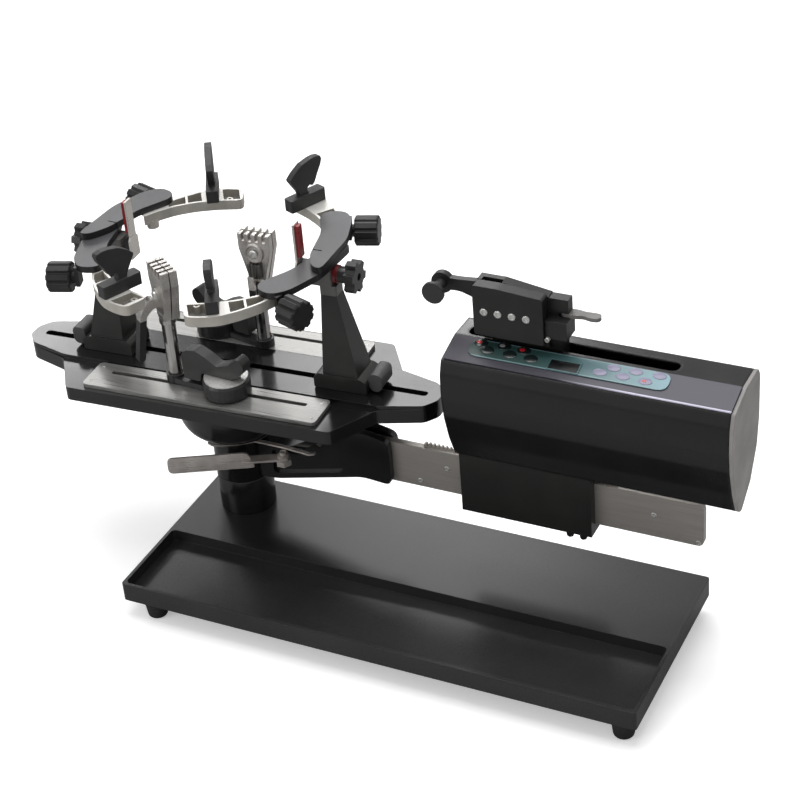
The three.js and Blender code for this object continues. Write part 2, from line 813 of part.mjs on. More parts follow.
// Extension casting along +X from its root: crescent with open pockets, and a nut below the root.
function extension() {
  const outline = scaled(extensionShares, extensionLength, extensionLength);
  const body = upright(rounded(outline, extensionCorner), 0, extensionHeight);
  const inside = upright(polygon(inset(outline, extensionWall)), extensionFloor, 2 * extensionHeight);
  const lengths = extensionPocketShares.map(([from, to]) => box(
    from * extensionLength, to * extensionLength, -extensionLength, extensionLength, 0, 2 * extensionHeight,
  ));
  const pockets = lengths.map((length) => inside.intersect(length));
  const [nutX, nutY] = extensionNutShare.map((share) => share * extensionLength);
  const nut = rodUp(extensionNutRadius, -extensionNutHeight, extensionFloor, nutX, nutY);
  return cut(join(body, nut), ...pockets);
}

// Hook along +X from its inner end: block with a curved blade above it.
function hook() {
  const half = hookBlockLength / 2;
  const block = upright(
    rectangle(-half, half, -hookBlockWidth / 2, hookBlockWidth / 2, hookBlockCorner), seat, hookBlockHeight,
  );
  const blade = scaled(hookBladeShares, hookBlockLength, hookBlockLength, -half, hookBlockHeight - seat);
  return join(block, across(polygon(blade), -hookBladeThickness / 2, hookBladeThickness / 2));
}

// A ring of lobes: outer and inner points in turn, two outer ones to each lobe.
function lobed(radius, lobes, innerShare) {
  const points = [];
  for (let i = 0; i < lobes; i += 1) {
    lobeSteps.forEach(([step, sunk]) => {
      const angle = ((i + step) / lobes) * 2 * Math.PI;
      const reach = sunk ? innerShare * radius : radius;
      points.push([reach * Math.cos(angle), reach * Math.sin(angle)]);
    });
  }
  return polygon(points);
}

// Fluted knob along +X about its middle, with softened edges and a short neck.
function knob() {
  const shape = lobed(knobRadius - knobEdge, knobFlutes, knobFluteShare);
  const geometry = new THREE.ExtrudeGeometry(shape, {
    depth: knobLength - 2 * knobEdge, bevelEnabled: true, bevelSize: knobEdge, bevelThickness: knobEdge,
    bevelSegments: 1,
  });
  geometry.rotateY(Math.PI / 2).translate(-knobLength / 2 + knobEdge, 0, 0);
  const neck = rodAlong(knobNeckRadius, -knobLength / 2 - knobNeckLength, 0, 0, 0);
  return join(solid(geometry), neck);
}

// Centre holder on the right: plate wider below, soft pad, bracket and the threaded rod through the tower.
function rightHolder() {
  const outer = holderAt + holderThickness;
  const low = holderHalfWidthLow;
  const plate = along(
    polygon([
      [-low, holderBottom], [low, holderBottom], [low, bracketTop], [holderHalfWidth, holderNarrowFrom],
      [holderHalfWidth, holderTop], [-holderHalfWidth, holderTop], [-holderHalfWidth, holderNarrowFrom],
      [-low, bracketTop],
    ]),
    holderAt, outer,
  );
  const pad = box(outer - seat, outer + padThickness, -padWidth / 2, padWidth / 2, padBottom, padTop);
  const bracket = box(outer - seat, outer + bracketLength, -low, low, bracketBottom, bracketTop);
  const rod = rodAlong(screwRadius, outer, screwEnd, 0, screwAtHeight);
  return join(plate, pad, bracket, rod);
}

// Star knob on the right with its collar, bored for the threaded rod.
function rightStar() {
  const start = bearingOuter + 2 * seat;
  const star = extruded(lobed(starRadius, starLobes, starLobeShare), starLength).rotateY(Math.PI / 2);
  star.translate(starStart, 0, screwAtHeight);
  const neck = rodAlong(starNeckRadius, start, starStart + seat, 0, screwAtHeight, roundSegments);
  const collar = rodAlong(collarRadius, start, start + collarLength, 0, screwAtHeight, roundSegments);
  const bore = rodAlong(screwRadius + screwClearance, start - seat, starStart + 2 * starLength, 0, screwAtHeight);
  return cut(join(solid(star), neck, collar), bore);
}

// Clamp base: round cup with a steel disc on top, and the arm that ends in the post's socket.
function clampBase({ cup, post }) {
  const profile = [
    [0, seat], [cupRadius - cupRound, seat], [cupRadius, cupRound], [cupRadius, cupHeight - cupRound],
    [cupDiscRadius, cupHeight], [cupDiscRadius, cupHeight + cupDiscHeight], [0, cupHeight + cupDiscHeight],
  ];
  const reach = Math.hypot(post[0] - cup[0], post[1] - cup[1]);
  const turn = THREE.MathUtils.radToDeg(Math.atan2(post[1] - cup[1], post[0] - cup[0]));
  const arm = box(0, reach, -clampArmWidth / 2, clampArmWidth / 2, seat, clampArmTop);
  const socket = rodUp(socketRadius, seat, socketTop, reach, 0, roundSegments);
  const bore = rodUp(postRadius + screwClearance, postFloor, socketTop + seat, reach, 0);
  return moved(cut(join(turned(profile), arm, socket), bore), placeAt(...cup, 0, turn));
}

// Cam lever: wavy bar over the top of the cup, deep beside the post.
function camLever({ cup, post }) {
  const turn = THREE.MathUtils.radToDeg(Math.atan2(post[1] - cup[1], post[0] - cup[0]));
  const bottom = cupHeight + cupDiscHeight + seat;
  const side = rounded(scaled(camShares, camReach, camReach, 0, bottom), camCorner);
  return moved(across(side, -camWidth / 2, camWidth / 2), placeAt(...cup, 0, turn));
}

function clampPost({ post }) {
  const bottom = postFloor + seat;
  const profile = [
    [0, bottom], [postRadius, bottom], [postRadius, postTop - postShoulderHeight],
    [postShoulder, postTop - postShoulderHeight], [postShoulder, postTop], [0, postTop],
  ];
  return moved(turned(profile, smallRoundSegments), placeAt(...post, 0));
}

// The comb plate of a clamp jaw along +X: narrow at the bottom, with a row of teeth on top.
function combPlate(front, back, bottom) {
  const top = postTop + headHeight;
  const left = headOverhang - headTopWidth / 2;
  const outlinePoints = [
    [headOverhang - headBottomWidth / 2, bottom], [headOverhang + headBottomWidth / 2, bottom],
    [headOverhang + headTopWidth / 2, top - headTopWidth / 2],
  ];
  const pitch = headTopWidth / (combTeeth - 1 + combToothShare);
  for (let i = combTeeth - 1; i >= 0; i -= 1) {
    const start = left + i * pitch;
    outlinePoints.push([start + combToothShare * pitch, top], [start, top]);
    if (i > 0) {
      outlinePoints.push([start, top - combDepth], [start - (1 - combToothShare) * pitch, top - combDepth]);
    }
  }
  outlinePoints.push([left, top - headTopWidth / 2]);
  return across(polygon(outlinePoints), front, back);
}

function fixedJaw({ post, turn }) {
  const plate = combPlate(headGap / 2, headGap / 2 + headThickness, postTop + seat);
  const boss = rodUp(postShoulder, postTop + seat, postTop + socketRadius, 0, headGap / 2 + postShoulder / 2);
  const trimmed = cut(boss, box(-headHeight, headHeight, -headHeight, headGap / 2, 0, postTop + headHeight));
  return moved(join(plate, trimmed), placeAt(...post, 0, turn));
}

// Moving jaw: comb plate rolling on a knuckle, a round boss on its face and a lever that leans out as it hangs.
function movingJaw({ post, turn }) {
  const face = -headGap / 2 - headThickness;
  const plate = combPlate(face, -headGap / 2, postTop + jawRise);
  const knuckleRadius = headThickness / 2 + headGap - seat;
  const knuckle = rodAlong(
    knuckleRadius, headOverhang - headBottomWidth / 2, headOverhang + headBottomWidth / 2,
    -(headGap + headThickness) / 2, postTop + jawRise + knuckleRadius, roundSegments,
  );
  const bossHeight = postTop + headHeight / 2;
  const boss = rodAcross(jawBossRadius, face - jawBossHeight, face + seat, headOverhang, bossHeight);
  const rootTop = postTop + handleRootHeight + handleWidth;
  const side = scaled(handleLeanShares, -handleLength, handleLength, face + seat, rootTop - handleLength);
  const lever = along(rounded(side, handleThickness / 2), handleAt - handleWidth / 2, handleAt + handleWidth / 2);
  return moved(join(plate, knuckle, boss, lever), placeAt(...post, 0, turn));
}

// Cross-section of the housing, front to back, at heights above the floor.
function housingSection() {
  return scaled(housingSectionShares, housingDepth, housingRise, 0, deckTop + housingFoot);
}

// A frame on a sloping face of the housing: origin, direction up the slope and direction outward.
function slope(from, to) {
  const points = housingSection();
  const start = new THREE.Vector2(...points[from]);
  const direction = new THREE.Vector2(...points[to]).sub(start);
  return { start, length: direction.length(), angle: Math.atan2(direction.y, direction.x) };
}

// Carries a body made on X and Y, rising in Z, onto a sloping face; Y runs along the slope.
function ontoSlope(body, face) {
  const turn = new THREE.Matrix4().makeRotationX(face.angle);
  return moved(body, new THREE.Matrix4().makeTranslation(0, face.start.x, face.start.y).multiply(turn));
}

// A clockwise outline moved inward by a distance, corner by corner.
function inset(points, distance) {
  return points.map((point, index) => {
    const corner = new THREE.Vector2(...point);
    const before = new THREE.Vector2(...points[(index + points.length - 1) % points.length]);
    const after = new THREE.Vector2(...points[(index + 1) % points.length]);
    const first = corner.clone().sub(before).normalize();
    const second = after.clone().sub(corner).normalize();
    const normal = new THREE.Vector2(first.y + second.y, -first.x - second.x).normalize();
    const shift = distance / Math.max(normal.dot(new THREE.Vector2(first.y, -first.x)), weldDistance);
    return [corner.x + normal.x * shift, corner.y + normal.y * shift];
  });
}

const panelFace = slope(sectionPlaces.panelLow, sectionPlaces.panelHigh);
const rearFace = slope(sectionPlaces.rearLow, sectionPlaces.rearHigh);

function rearCut(at, width, height, depth) {
  const middle = rearFace.length * rearFaceMiddle;
  return ontoSlope(
    box(at - width / 2, at + width / 2, middle - height / 2, middle + height / 2, -depth, depth), rearFace,
  );
}

// Housing shell: closed at the left, open at the right, slotted on top, with two cut-outs at the rear.
function housingShell() {
  const outer = along(rounded(housingSection(), housingCorner), housingLeft, housingRight);
  const hollow = along(polygon(inset(housingSection(), housingWall)), housingLeft + housingWall, 2 * housingRight);
  const slot = upright(
    rectangle(
      carriageSlotLeft, carriageSlotRight, carriageSlotFront, carriageSlotBack,
      (carriageSlotBack - carriageSlotFront) / 2,
    ),
    deckTop + housingFoot + housingRise / 2, deckTop + housingFoot + 2 * housingRise,
  );
  const inletHole = rearCut(inletAt, inletWidth + 2 * seat, inletHeight + 2 * seat, inletDepth);
  const switchHole = rearCut(
    switchAt, switchWidth + 2 * screwClearance, switchLength + 2 * screwClearance, switchDepth,
  );
  return cut(outer, hollow, slot, inletHole, switchHole);
}

function housingEnd() {
  const left = housingRight + seat;
  return along(rounded(housingSection(), housingCorner), left, left + endThickness);
}

function panel() {
  const plate = upright(
    rectangle(panelLeft, housingRight, panelStart, panelEnd, panelCorner), seat, seat + panelThickness,
  );
  return ontoSlope(plate, panelFace);
}

// Keypad: rounded membrane with a raised frame round the screen.
function keypad() {
  const bottom = panelThickness + 2 * seat;
  const top = bottom + keypadThickness;
  const membrane = upright(
    rectangle(keypadLeft, keypadRight, keypadStart, keypadEnd, keypadCorner), bottom, top,
  );
  const frame = box(
    screenLeft - screenFrame, screenRight + screenFrame, screenStart - screenFrame / 2, screenEnd + screenFrame,
    top - seat, top + screenFrameHeight,
  );
  const window = box(screenLeft, screenRight, screenStart, screenEnd, top, top + 2 * screenFrameHeight);
  return ontoSlope(cut(join(membrane, frame), window), panelFace);
}

// Power inlet: flange, open socket and three contact pins.
function powerInlet() {
  const middle = rearFace.length * rearFaceMiddle;
  const half = inletWidth / 2;
  const halfHeight = inletHeight / 2;
  const flange = upright(
    rectangle(
      inletAt - half - inletFlange, inletAt + half + inletFlange, middle - halfHeight - inletFlange,
      middle + halfHeight + inletFlange, inletFlange,
    ),
    -seat - inletFlangeThickness, -seat,
  );
  const body = box(
    inletAt - half, inletAt + half, middle - halfHeight, middle + halfHeight, -2 * seat, inletDepth,
  );
  const socket = box(
    inletAt - half + inletWall, inletAt + half - inletWall, middle - halfHeight + inletWall,
    middle + halfHeight - inletWall, -inletDepth, inletDepth - inletWall,
  );
  const pins = [-pinSpacing, 0, pinSpacing].map((shift, index) => {
    const x = inletAt + shift;
    const y = middle + (index === 1 ? pinWidth / 2 : -pinWidth / 2);
    return box(
      x - pinThickness / 2, x + pinThickness / 2, y - pinWidth / 2, y + pinWidth / 2,
      inletDepth - inletWall - pinLength, inletDepth - inletWall / 2,
    );
  });
  return ontoSlope(join(cut(join(flange, body), socket), ...pins), rearFace);
}

// Power switch: rocker with two sloping halves.
function powerSwitch() {
  const middle = rearFace.length * rearFaceMiddle;
  const half = switchLength / 2;
  const rise = half * Math.tan(THREE.MathUtils.degToRad(rockerTilt));
  const side = polygon([
    [middle - half, -rise], [middle, 0], [middle + half, -rise], [middle + half, switchDepth / 2],
    [middle, switchDepth], [middle - half, switchDepth / 2],
  ]);
  return ontoSlope(along(side, switchAt - switchWidth / 2, switchAt + switchWidth / 2), rearFace);
}

// Trolley: ring round the rack bar; its top follows the underside of the housing.
function trolley() {
  const section = housingSection();
  const foot = section[sectionPlaces.lowest];
  const front = section[sectionPlaces.underFront];
  const rear = section[sectionPlaces.rearLow];
  const under = (y) => {
    const end = y < foot[0] ? front : rear;
    return foot[1] + ((end[1] - foot[1]) * (y - foot[0])) / (end[0] - foot[0]) - seat;
  };
  const bottom = deckTop + trolleyAboveDeck;
  const outer = polygon([
    [-trolleyHalfWidth, bottom], [trolleyHalfWidth, bottom], [trolleyHalfWidth, under(trolleyHalfWidth)],
    [foot[0], foot[1] - seat], [-trolleyHalfWidth, under(-trolleyHalfWidth)],
  ]);
  const slotHalf = barThickness / 2 + slotSideGap;
  const slot = box(
    0, 2 * trolleyRight, -slotHalf, slotHalf, barBottom - slotBottomGap, barTop + slotTopGap,
  );
  return cut(along(outer, trolleyLeft, trolleyRight), slot);
}

// Gripper carriage: base and stem in the slot, fixed jaw, stepped block with a slot for the lever, roller arm.
function gripperCarriage() {
  const bottom = deckTop + gripperBaseAboveDeck;
  const top = bottom + gripperBaseHeight;
  const jawTop = top + gripperJawHeight;
  const base = upright(
    rectangle(gripperLeft, gripperRight, gripperGap, carriageSlotBack, housingCorner / 2), bottom, top,
  );
  const stem = box(
    stemLeft, stemRight, carriageSlotFront + seat, carriageSlotBack - seat, bottom - stemDepth, top,
  );
  const fixedSide = polygon([
    [gripperLeft, top - seat], [gripperRight + seat, top - seat], [gripperRight + seat, jawTop - gripperEndDrop],
    [entryRight, jawTop], [gripperLeft, jawTop],
  ]);
  const fixed = across(fixedSide, gripperGap, gripperHalfDepth);
  const entry = box(entryLeft, entryRight, 0, gripperGap + entryDepth, jawTop - entryHeight, jawTop + seat);
  const stepTop = top + stepHeight;
  const step = box(gripperRight, stepRight, stepFront, gripperHalfDepth, stepTop - stepDepth, stepTop);
  const block = box(gripperRight, blockRight, blockFront, gripperHalfDepth, stepTop - seat, top + blockHeight);
  const slotTop = stepTop + gripperLeverThickness + 2 * leverClearance;
  const slot = box(leverSlotLeft, stepRight, stepFront, gripperHalfDepth + seat, stepTop, slotTop);
  const pin = rodUp(leverPinRadius, stepTop - seat, slotTop + seat, leverPivotX, leverPivotY);
  const rollerHeight = top + rollerAboveJawBase;
  const armSide = scaled(rollerArmShares, gripperLeft - rollerAt, rollerArmHeight, rollerAt, rollerHeight);
  const arm = across(rounded(armSide, rollerArmCorner), rollerArmFront, rollerArmBack);
  const axle = rodAcross(rollerRadius / 2, -rollerArmFront, rollerArmBack, rollerAt, rollerHeight);
  const end = rodAcross(
    rollerDiscRadius - seat, rollerArmFront, rollerArmBack, rollerAt, rollerHeight, roundSegments,
  );
  return join(cut(join(base, stem, fixed, step, block), entry, slot), pin, arm, end, axle);
}

// Moving jaw: upright plate in front of the fixed one, its top falling to the right.
function gripperJaw() {
  const bottom = deckTop + gripperBaseAboveDeck + jawRiseAboveBase;
  const top = deckTop + gripperBaseAboveDeck + gripperBaseHeight + gripperJawHeight;
  const side = rounded(
    [
      [gripperLeft, bottom], [gripperRight - seat, bottom], [gripperRight - seat, top - gripperEndDrop / 2],
      [entryRight, top], [gripperLeft, top],
    ],
    housingCorner,
  );
  return across(side, -gripperHalfDepth, 0);
}

// Gripper lever: flat, waisted, with a round root that turns on the pin.
function gripperLever() {
  const bottom = deckTop + gripperBaseAboveDeck + gripperBaseHeight + stepHeight + leverClearance;
  const top = bottom + gripperLeverThickness;
  const plan = rounded(
    scaled(leverOutlineShares, leverReach, leverReach, leverPivotX, leverPivotY), gripperLeverThickness,
  );
  const root = rodUp(leverRootRadius, bottom, top, leverPivotX, leverPivotY, roundSegments);
  const bore = rodUp(leverPinRadius + leverClearance, bottom - seat, top + seat, leverPivotX, leverPivotY);
  return cut(join(upright(plan, bottom, top), root), bore);
}

// Guide roller: bright cylinder between two discs, bored for its axle.
function guideRoller() {
  const middle = deckTop + gripperBaseAboveDeck + gripperBaseHeight + rollerAboveJawBase;
  const front = -rollerHalfWidth - rollerDiscThickness;
  const cylinder = rodAcross(rollerRadius, -rollerHalfWidth - seat, rollerArmFront - seat, rollerAt, middle);
  const disc = rodAcross(rollerDiscRadius, front, -rollerHalfWidth, rollerAt, middle, roundSegments);
  const bore = rodAcross(rollerRadius / 2 + seat, -rollerArmFront - seat, rollerArmBack, rollerAt, middle);
  return cut(join(cylinder, disc), bore);
}

// Brake strip: narrow spring plate round the front of the spindle, hooked at its right end.
function brakeStrip() {
  const front = scaled(stripFrontShares, columnRadius, columnRadius);
  const back = front.map(([x, y]) => [x, y + stripWidth]).reverse();
  return upright(polygon([...front, ...back]), ringTop + seat, ringTop + seat + stripThickness);
}

// Brake bolt: flat collar above the lever, shank through it, hex nut below.
function brakeBolt() {
  const leverTop = ringTop - leverBelowStrip;
  const leverBottom = leverTop - leverThickness;
  const nut = Array.from({ length: nutSides }, (unused, index) => {
    const angle = (index * 2 * Math.PI) / nutSides;
    return [boltAtX + nutRadius * Math.cos(angle), boltAtY + nutRadius * Math.sin(angle)];
  });
  return join(
    rodUp(boltHeadRadius, leverTop + seat, leverTop + boltHeadHeight, boltAtX, boltAtY),
    rodUp(boltRadius, leverBottom - nutHeight, ringTop, boltAtX, boltAtY),
    upright(polygon(nut), leverBottom - seat - nutHeight, leverBottom - seat),
  );
}

// Brake lever: flat arm from the bolt, bent up into an upright paddle with a round end.
function brakeLever() {
  const top = ringTop - leverBelowStrip;
  const bottom = top - leverThickness;
  const half = leverWidth / 2;
  const arm = upright(rectangle(-half, leverArm, -half, half, half), bottom, top);
  const bore = rodUp(boltRadius + screwClearance, bottom - seat, top + seat);
  const paddleSide = rounded(
    [
      [-half, 0], [paddleLength, 0], [paddleLength, paddleHeight], [0, paddleHeight], [-half, leverThickness],
    ],
    half,
  );
  const paddle = moved(
    across(paddleSide, -leverThickness / 2, leverThickness / 2),
    placeAt(leverArm - half, 0, top - paddleRise, paddleTurn),
  );
  return moved(join(cut(arm, bore), paddle), placeAt(boltAtX, boltAtY, 0, leverArmTurn));
}

// Assembly
const machine = new THREE.Group();
machine.name = "stringing_machine";
machine.add(piece("base_tray", baseTray(), glossBlack));
Object.entries(footSpots).forEach(([spot, place]) => {
  machine.add(piece(`foot_${spot}`, foot(place), rubber));
});
machine.add(piece("column", column(), glossBlack));
machine.add(piece("support_arm", supportArm(), glossBlack));
machine.add(piece("rack_bar", rackBar(), steel));
machine.add(piece("brake_strip", brakeStrip(), steel));
machine.add(piece("brake_bolt", brakeBolt(), steel));
machine.add(piece("brake_lever", brakeLever(), satinBlack));

const turntable = new THREE.Group();
turntable.name = "turntable";
turntable.position.set(0, 0, railTop);
turntable.rotation.z = THREE.MathUtils.degToRad(turntableYaw);
machine.add(turntable);
turntable.add(piece("brake_hub", hub(), glossBlack));
turntable.add(piece("turntable_body", turntableBody(), glossBlack));
turntable.add(piece("front_clamp_rail", clampRail(-frontRailOuter, -frontRailInner, -frontSlotAt), steel));
turntable.add(piece("rear_clamp_rail", clampRail(rearRailInner, rearRailOuter, rearSlotAt), steel));

const sides = { right: new THREE.Matrix4(), left: mirrorX };
Object.entries(sides).forEach(([side, flip]) => {
  turntable.add(piece(`tower_${side}`, moved(rightTower(), flip), satinBlack));
  turntable.add(piece(`tower_lock_${side}`, moved(rightLock(), flip), plastic));
  turntable.add(piece(`center_holder_${side}`, moved(rightHolder(), flip), steel));
  turntable.add(piece(`star_knob_${side}`, moved(rightStar(), flip), plastic));
});

Object.entries(hangerSpots).forEach(([spot, place]) => {
  const [toSide, toBack] = place.sign;
  const flip = new THREE.Matrix4().makeScale(toSide, toBack, 1);
  const swung = placeAt(pivotAt, 0, 0, place.swing);
  const armPlace = flip.clone().multiply(swung);
  turntable.add(piece(`side_arm_${spot}`, moved(sideArm(place.armBottom), armPlace), satinGrey));
  const rootPlace = flip.clone().multiply(
    placeAt(...place.root, place.armBottom - seat - extensionHeight, place.turn),
  );
  turntable.add(piece(`extension_${spot}`, moved(extension(), rootPlace), cast));
  const hookPlace = flip.clone().multiply(placeAt(...place.hook, place.armBottom - seat, hookTurn));
  turntable.add(piece(`hook_${spot}`, moved(hook(), hookPlace), satinBlack));
  const knobPlace = armPlace.clone().multiply(
    placeAt(knobAtSide - pivotAt, knobAtBack, place.armBottom - knobBelowArm, knobTurn),
  );
  turntable.add(piece(`knob_${spot}`, moved(knob(), knobPlace), plastic));
});

Object.entries(clampSpots).forEach(([spot, place]) => {
  turntable.add(piece(`clamp_base_${spot}`, clampBase(place), satinBlack));
  turntable.add(piece(`clamp_cam_${spot}`, camLever(place), satinBlack));
  turntable.add(piece(`clamp_post_${spot}`, clampPost(place), steel));
  turntable.add(piece(`clamp_head_${spot}`, fixedJaw(place), cast));
  turntable.add(piece(`clamp_jaw_${spot}`, movingJaw(place), cast));
});

machine.add(piece("trolley", trolley(), satinBlack));
machine.add(piece("housing_shell", housingShell(), glossBlack));
machine.add(piece("housing_end", housingEnd(), paleGrey));
machine.add(piece("panel", panel(), fascia));
machine.add(piece("keypad", keypad(), teal));
machine.add(piece("gripper_carriage", gripperCarriage(), satinBlack));
machine.add(piece("gripper_jaw", gripperJaw(), satinBlack));
machine.add(piece("gripper_lever", gripperLever(), satinGrey));
machine.add(piece("guide_roller", guideRoller(), plastic));
machine.add(piece("power_inlet", powerInlet(), plastic));
machine.add(piece("power_switch", powerSwitch(), plastic));

// The middle of the whole machine's footprint becomes the origin, on the floor.
const bounds = new THREE.Box3().setFromObject(machine);
const middle = bounds.getCenter(new THREE.Vector3());
machine.position.set(-middle.x, -middle.y, -bounds.min.z);
machine.updateMatrixWorld(true);

export default machine;
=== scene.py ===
import math

import bmesh
import bpy
from mathutils import Matrix, Vector


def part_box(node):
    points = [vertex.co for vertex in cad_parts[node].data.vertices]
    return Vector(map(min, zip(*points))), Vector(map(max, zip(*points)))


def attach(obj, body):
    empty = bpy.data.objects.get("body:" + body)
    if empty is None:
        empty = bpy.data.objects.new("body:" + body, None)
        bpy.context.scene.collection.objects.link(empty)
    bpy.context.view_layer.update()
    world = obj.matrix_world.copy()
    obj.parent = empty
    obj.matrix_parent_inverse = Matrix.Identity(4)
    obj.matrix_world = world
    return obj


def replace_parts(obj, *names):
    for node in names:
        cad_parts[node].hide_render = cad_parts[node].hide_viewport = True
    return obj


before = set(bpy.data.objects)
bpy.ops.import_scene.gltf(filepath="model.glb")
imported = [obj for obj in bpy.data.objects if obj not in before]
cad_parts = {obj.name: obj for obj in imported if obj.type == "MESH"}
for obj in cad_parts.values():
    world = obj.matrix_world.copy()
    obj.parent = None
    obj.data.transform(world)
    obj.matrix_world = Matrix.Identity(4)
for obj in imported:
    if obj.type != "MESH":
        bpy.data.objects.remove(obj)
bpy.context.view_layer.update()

# Studio: a white matte floor in a white room, with soft lamps above, in front and behind.
# The lamps and the camera are placed from the point where the column's axis meets the floor.
column_low, column_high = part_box("column")
axis = Vector(((column_low.x + column_high.x) / 2, (column_low.y + column_high.y) / 2, 0))


def linear(code):
    """An sRGB hex code as linear RGBA."""
    values = [int(code[i:i + 2], 16) / 255 for i in (1, 3, 5)]
    return [v / 12.92 if v <= 0.04045 else ((v + 0.055) / 1.055) ** 2.4 for v in values] + [1]


def add(tree, kind, inputs=None, give=0, stops=(), **settings):
    """Adds a shader node with its settings and its inputs, and gives one of its outputs.

    An input is a value, a hex code or the output of another node. The stops are the positions and
    hex codes of a colour ramp.
    """
    made = tree.nodes.new("ShaderNode" + kind)
    for name, value in settings.items():
        setattr(made, name, value)
    for name, value in (inputs or {}).items():
        if isinstance(value, bpy.types.NodeSocket):
            tree.links.new(value, made.inputs[name])
        else:
            made.inputs[name].default_value = linear(value) if isinstance(value, str) else value
    if stops:
        while len(made.color_ramp.elements) < len(stops):
            made.color_ramp.elements.new(0.5)
        for element, (position, code) in zip(made.color_ramp.elements, stops):
            element.position = position
            element.color = linear(code)
    return made.outputs[give] if made.outputs else None


def material(name):
    """An empty material and its node tree."""
    made = bpy.data.materials.new(name)
    made.use_nodes = True
    made.node_tree.nodes.clear()
    return made, made.node_tree


def patches(tree, size, detail, stretch=(1, 1, 1), turn=0):
    """Irregular patches about this many millimetres across, drawn out where the stretch is below 1.

    Real grain is finer than the render can show, so none is drawn finer than about 0.4 millimetres.
    """
    turned = add(tree, "Mapping", {"Vector": add(tree, "TexCoord", give="Object"),
                                   "Rotation": (0, 0, math.radians(-turn)), "Scale": stretch})
    return add(tree, "TexNoise", {"Vector": turned, "Scale": 1000 / size, "Detail": detail}, give="Fac")


# Wall paint, rolled: even and white to the eye, and greyer where the black enamel mirrors it.
floor_half, floor_drop, floor_glow = 8, 0.0004, 0.34
floor_paint, tree = material("white_floor_paint")
cloud = patches(tree, size=25, detail=4)
tone = add(tree, "ValToRGB", {"Fac": cloud}, stops=((0.3, "#f6f6f6"), (0.7, "#fbfbfb")))
mirrored = add(tree, "LightPath", give="Is Glossy Ray")
tone = add(tree, "MixRGB", {"Fac": mirrored, "Color1": tone, "Color2": "#9c9c9c"})
lit = add(tree, "BsdfPrincipled", {"Base Color": tone, "Roughness": 0.7})
glow = add(tree, "Emission", {"Color": "#ffffff", "Strength": floor_glow})
seen_glow = add(tree, "MixShader", {0: add(tree, "LightPath", give="Is Camera Ray"), 2: glow})
add(tree, "OutputMaterial", {"Surface": add(tree, "AddShader", {0: lit, 1: seen_glow})})

bm = bmesh.new()
bmesh.ops.create_grid(bm, x_segments=1, y_segments=1, size=floor_half)
mesh = bpy.data.meshes.new("floor")
bm.to_mesh(mesh)
bm.free()
floor = bpy.data.objects.new("floor", mesh)
floor.location.z = -floor_drop
mesh.materials.append(floor_paint)
bpy.context.scene.collection.objects.link(floor)

room_light, room_seen = 0.52, 1.0
world = bpy.data.worlds.new("white_room")
bpy.context.scene.world = world
world.use_nodes = True
tree = world.node_tree
tree.nodes.clear()
room = add(tree, "Background", {"Color": "#ffffff", "Strength": room_light})
seen = add(tree, "Background", {"Color": "#ffffff", "Strength": room_seen})
mix = add(tree, "MixShader", {0: add(tree, "LightPath", give="Is Camera Ray"), 1: room, 2: seen})
add(tree, "OutputWorld", {"Surface": mix})


def lamp(name, size, watts, place, target):
    """A rectangular soft lamp, placed and aimed in metres from the column's axis."""
    data = bpy.data.lights.new(name, "AREA")
    data.shape = "RECTANGLE"
    data.size, data.size_y = size
    data.energy = watts
    made = bpy.data.objects.new(name, data)
    made.location = axis + Vector(place)
    made.rotation_euler = (axis + Vector(target) - made.location).to_track_quat("-Z", "Y").to_euler()
    bpy.context.scene.collection.objects.link(made)


lamp("overhead", size=(1.4, 1.4), watts=30, place=(0.1, 0.3, 2.0), target=(0.2, 0, 0.2))
lamp("front_left", size=(1.2, 1.0), watts=13, place=(-1.5, -1.9, 1.1), target=(0.1, 0, 0.25))
lamp("behind_left", size=(0.9, 0.6), watts=11, place=(-2.4, 2.3, 1.9), target=(-0.15, 0, 0.24))
lamp("behind_right", size=(0.8, 0.6), watts=7.5, place=(-0.95, 2.3, 1.85), target=(0.15, 0, 0.24))

# Camera: at the photograph's angle, from the front right and above, on a full-frame sensor.
# It has no lens shift, so that the object is centred from every other side too.
azimuth, elevation, roll = (math.radians(degrees) for degrees in (28.136, 33.147, -4.987))
camera_place, lens_length, sensor_width = Vector((1.1183, -1.6884, 1.4835)), 93.026, 36
forward = Vector((-math.sin(azimuth) * math.cos(elevation), math.cos(azimuth) * math.cos(elevation),
                  -math.sin(elevation)))
level = forward.cross(Vector((0, 0, 1))).normalized()
upright = level.cross(forward)
right = math.cos(roll) * level + math.sin(roll) * upright
up = math.cos(roll) * upright - math.sin(roll) * level
camera_data = bpy.data.cameras.new("camera")
camera_data.sensor_width = sensor_width
camera_data.lens = lens_length
camera = bpy.data.objects.new("camera", camera_data)
turned = Matrix((right, up, -forward)).transposed().to_4x4()
camera.matrix_world = Matrix.Translation(axis + camera_place) @ turned
bpy.context.scene.collection.objects.link(camera)
bpy.context.scene.camera = camera
bpy.context.scene.view_settings.view_transform = "Standard"

# Black sheet metal and castings: base, column, support arm, turntable and its hub.
# Pressed steel and cast aluminium in a glossy black stoving enamel, with softened edges.
# The column, its ring and the hub are lathed again here with finer steps than the frame has.
millimetres = Matrix.Scale(0.001, 4)
base = Matrix.Translation(axis) @ millimetres
rail_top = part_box("turntable_body")[1].z
yaw, crease = 3, 33
noise_low, noise_high = 0.3, 0.7
table_axis = Matrix.Translation(axis + Vector((0, 0, rail_top)))
table = table_axis @ Matrix.Rotation(math.radians(yaw), 4, "Z") @ millimetres


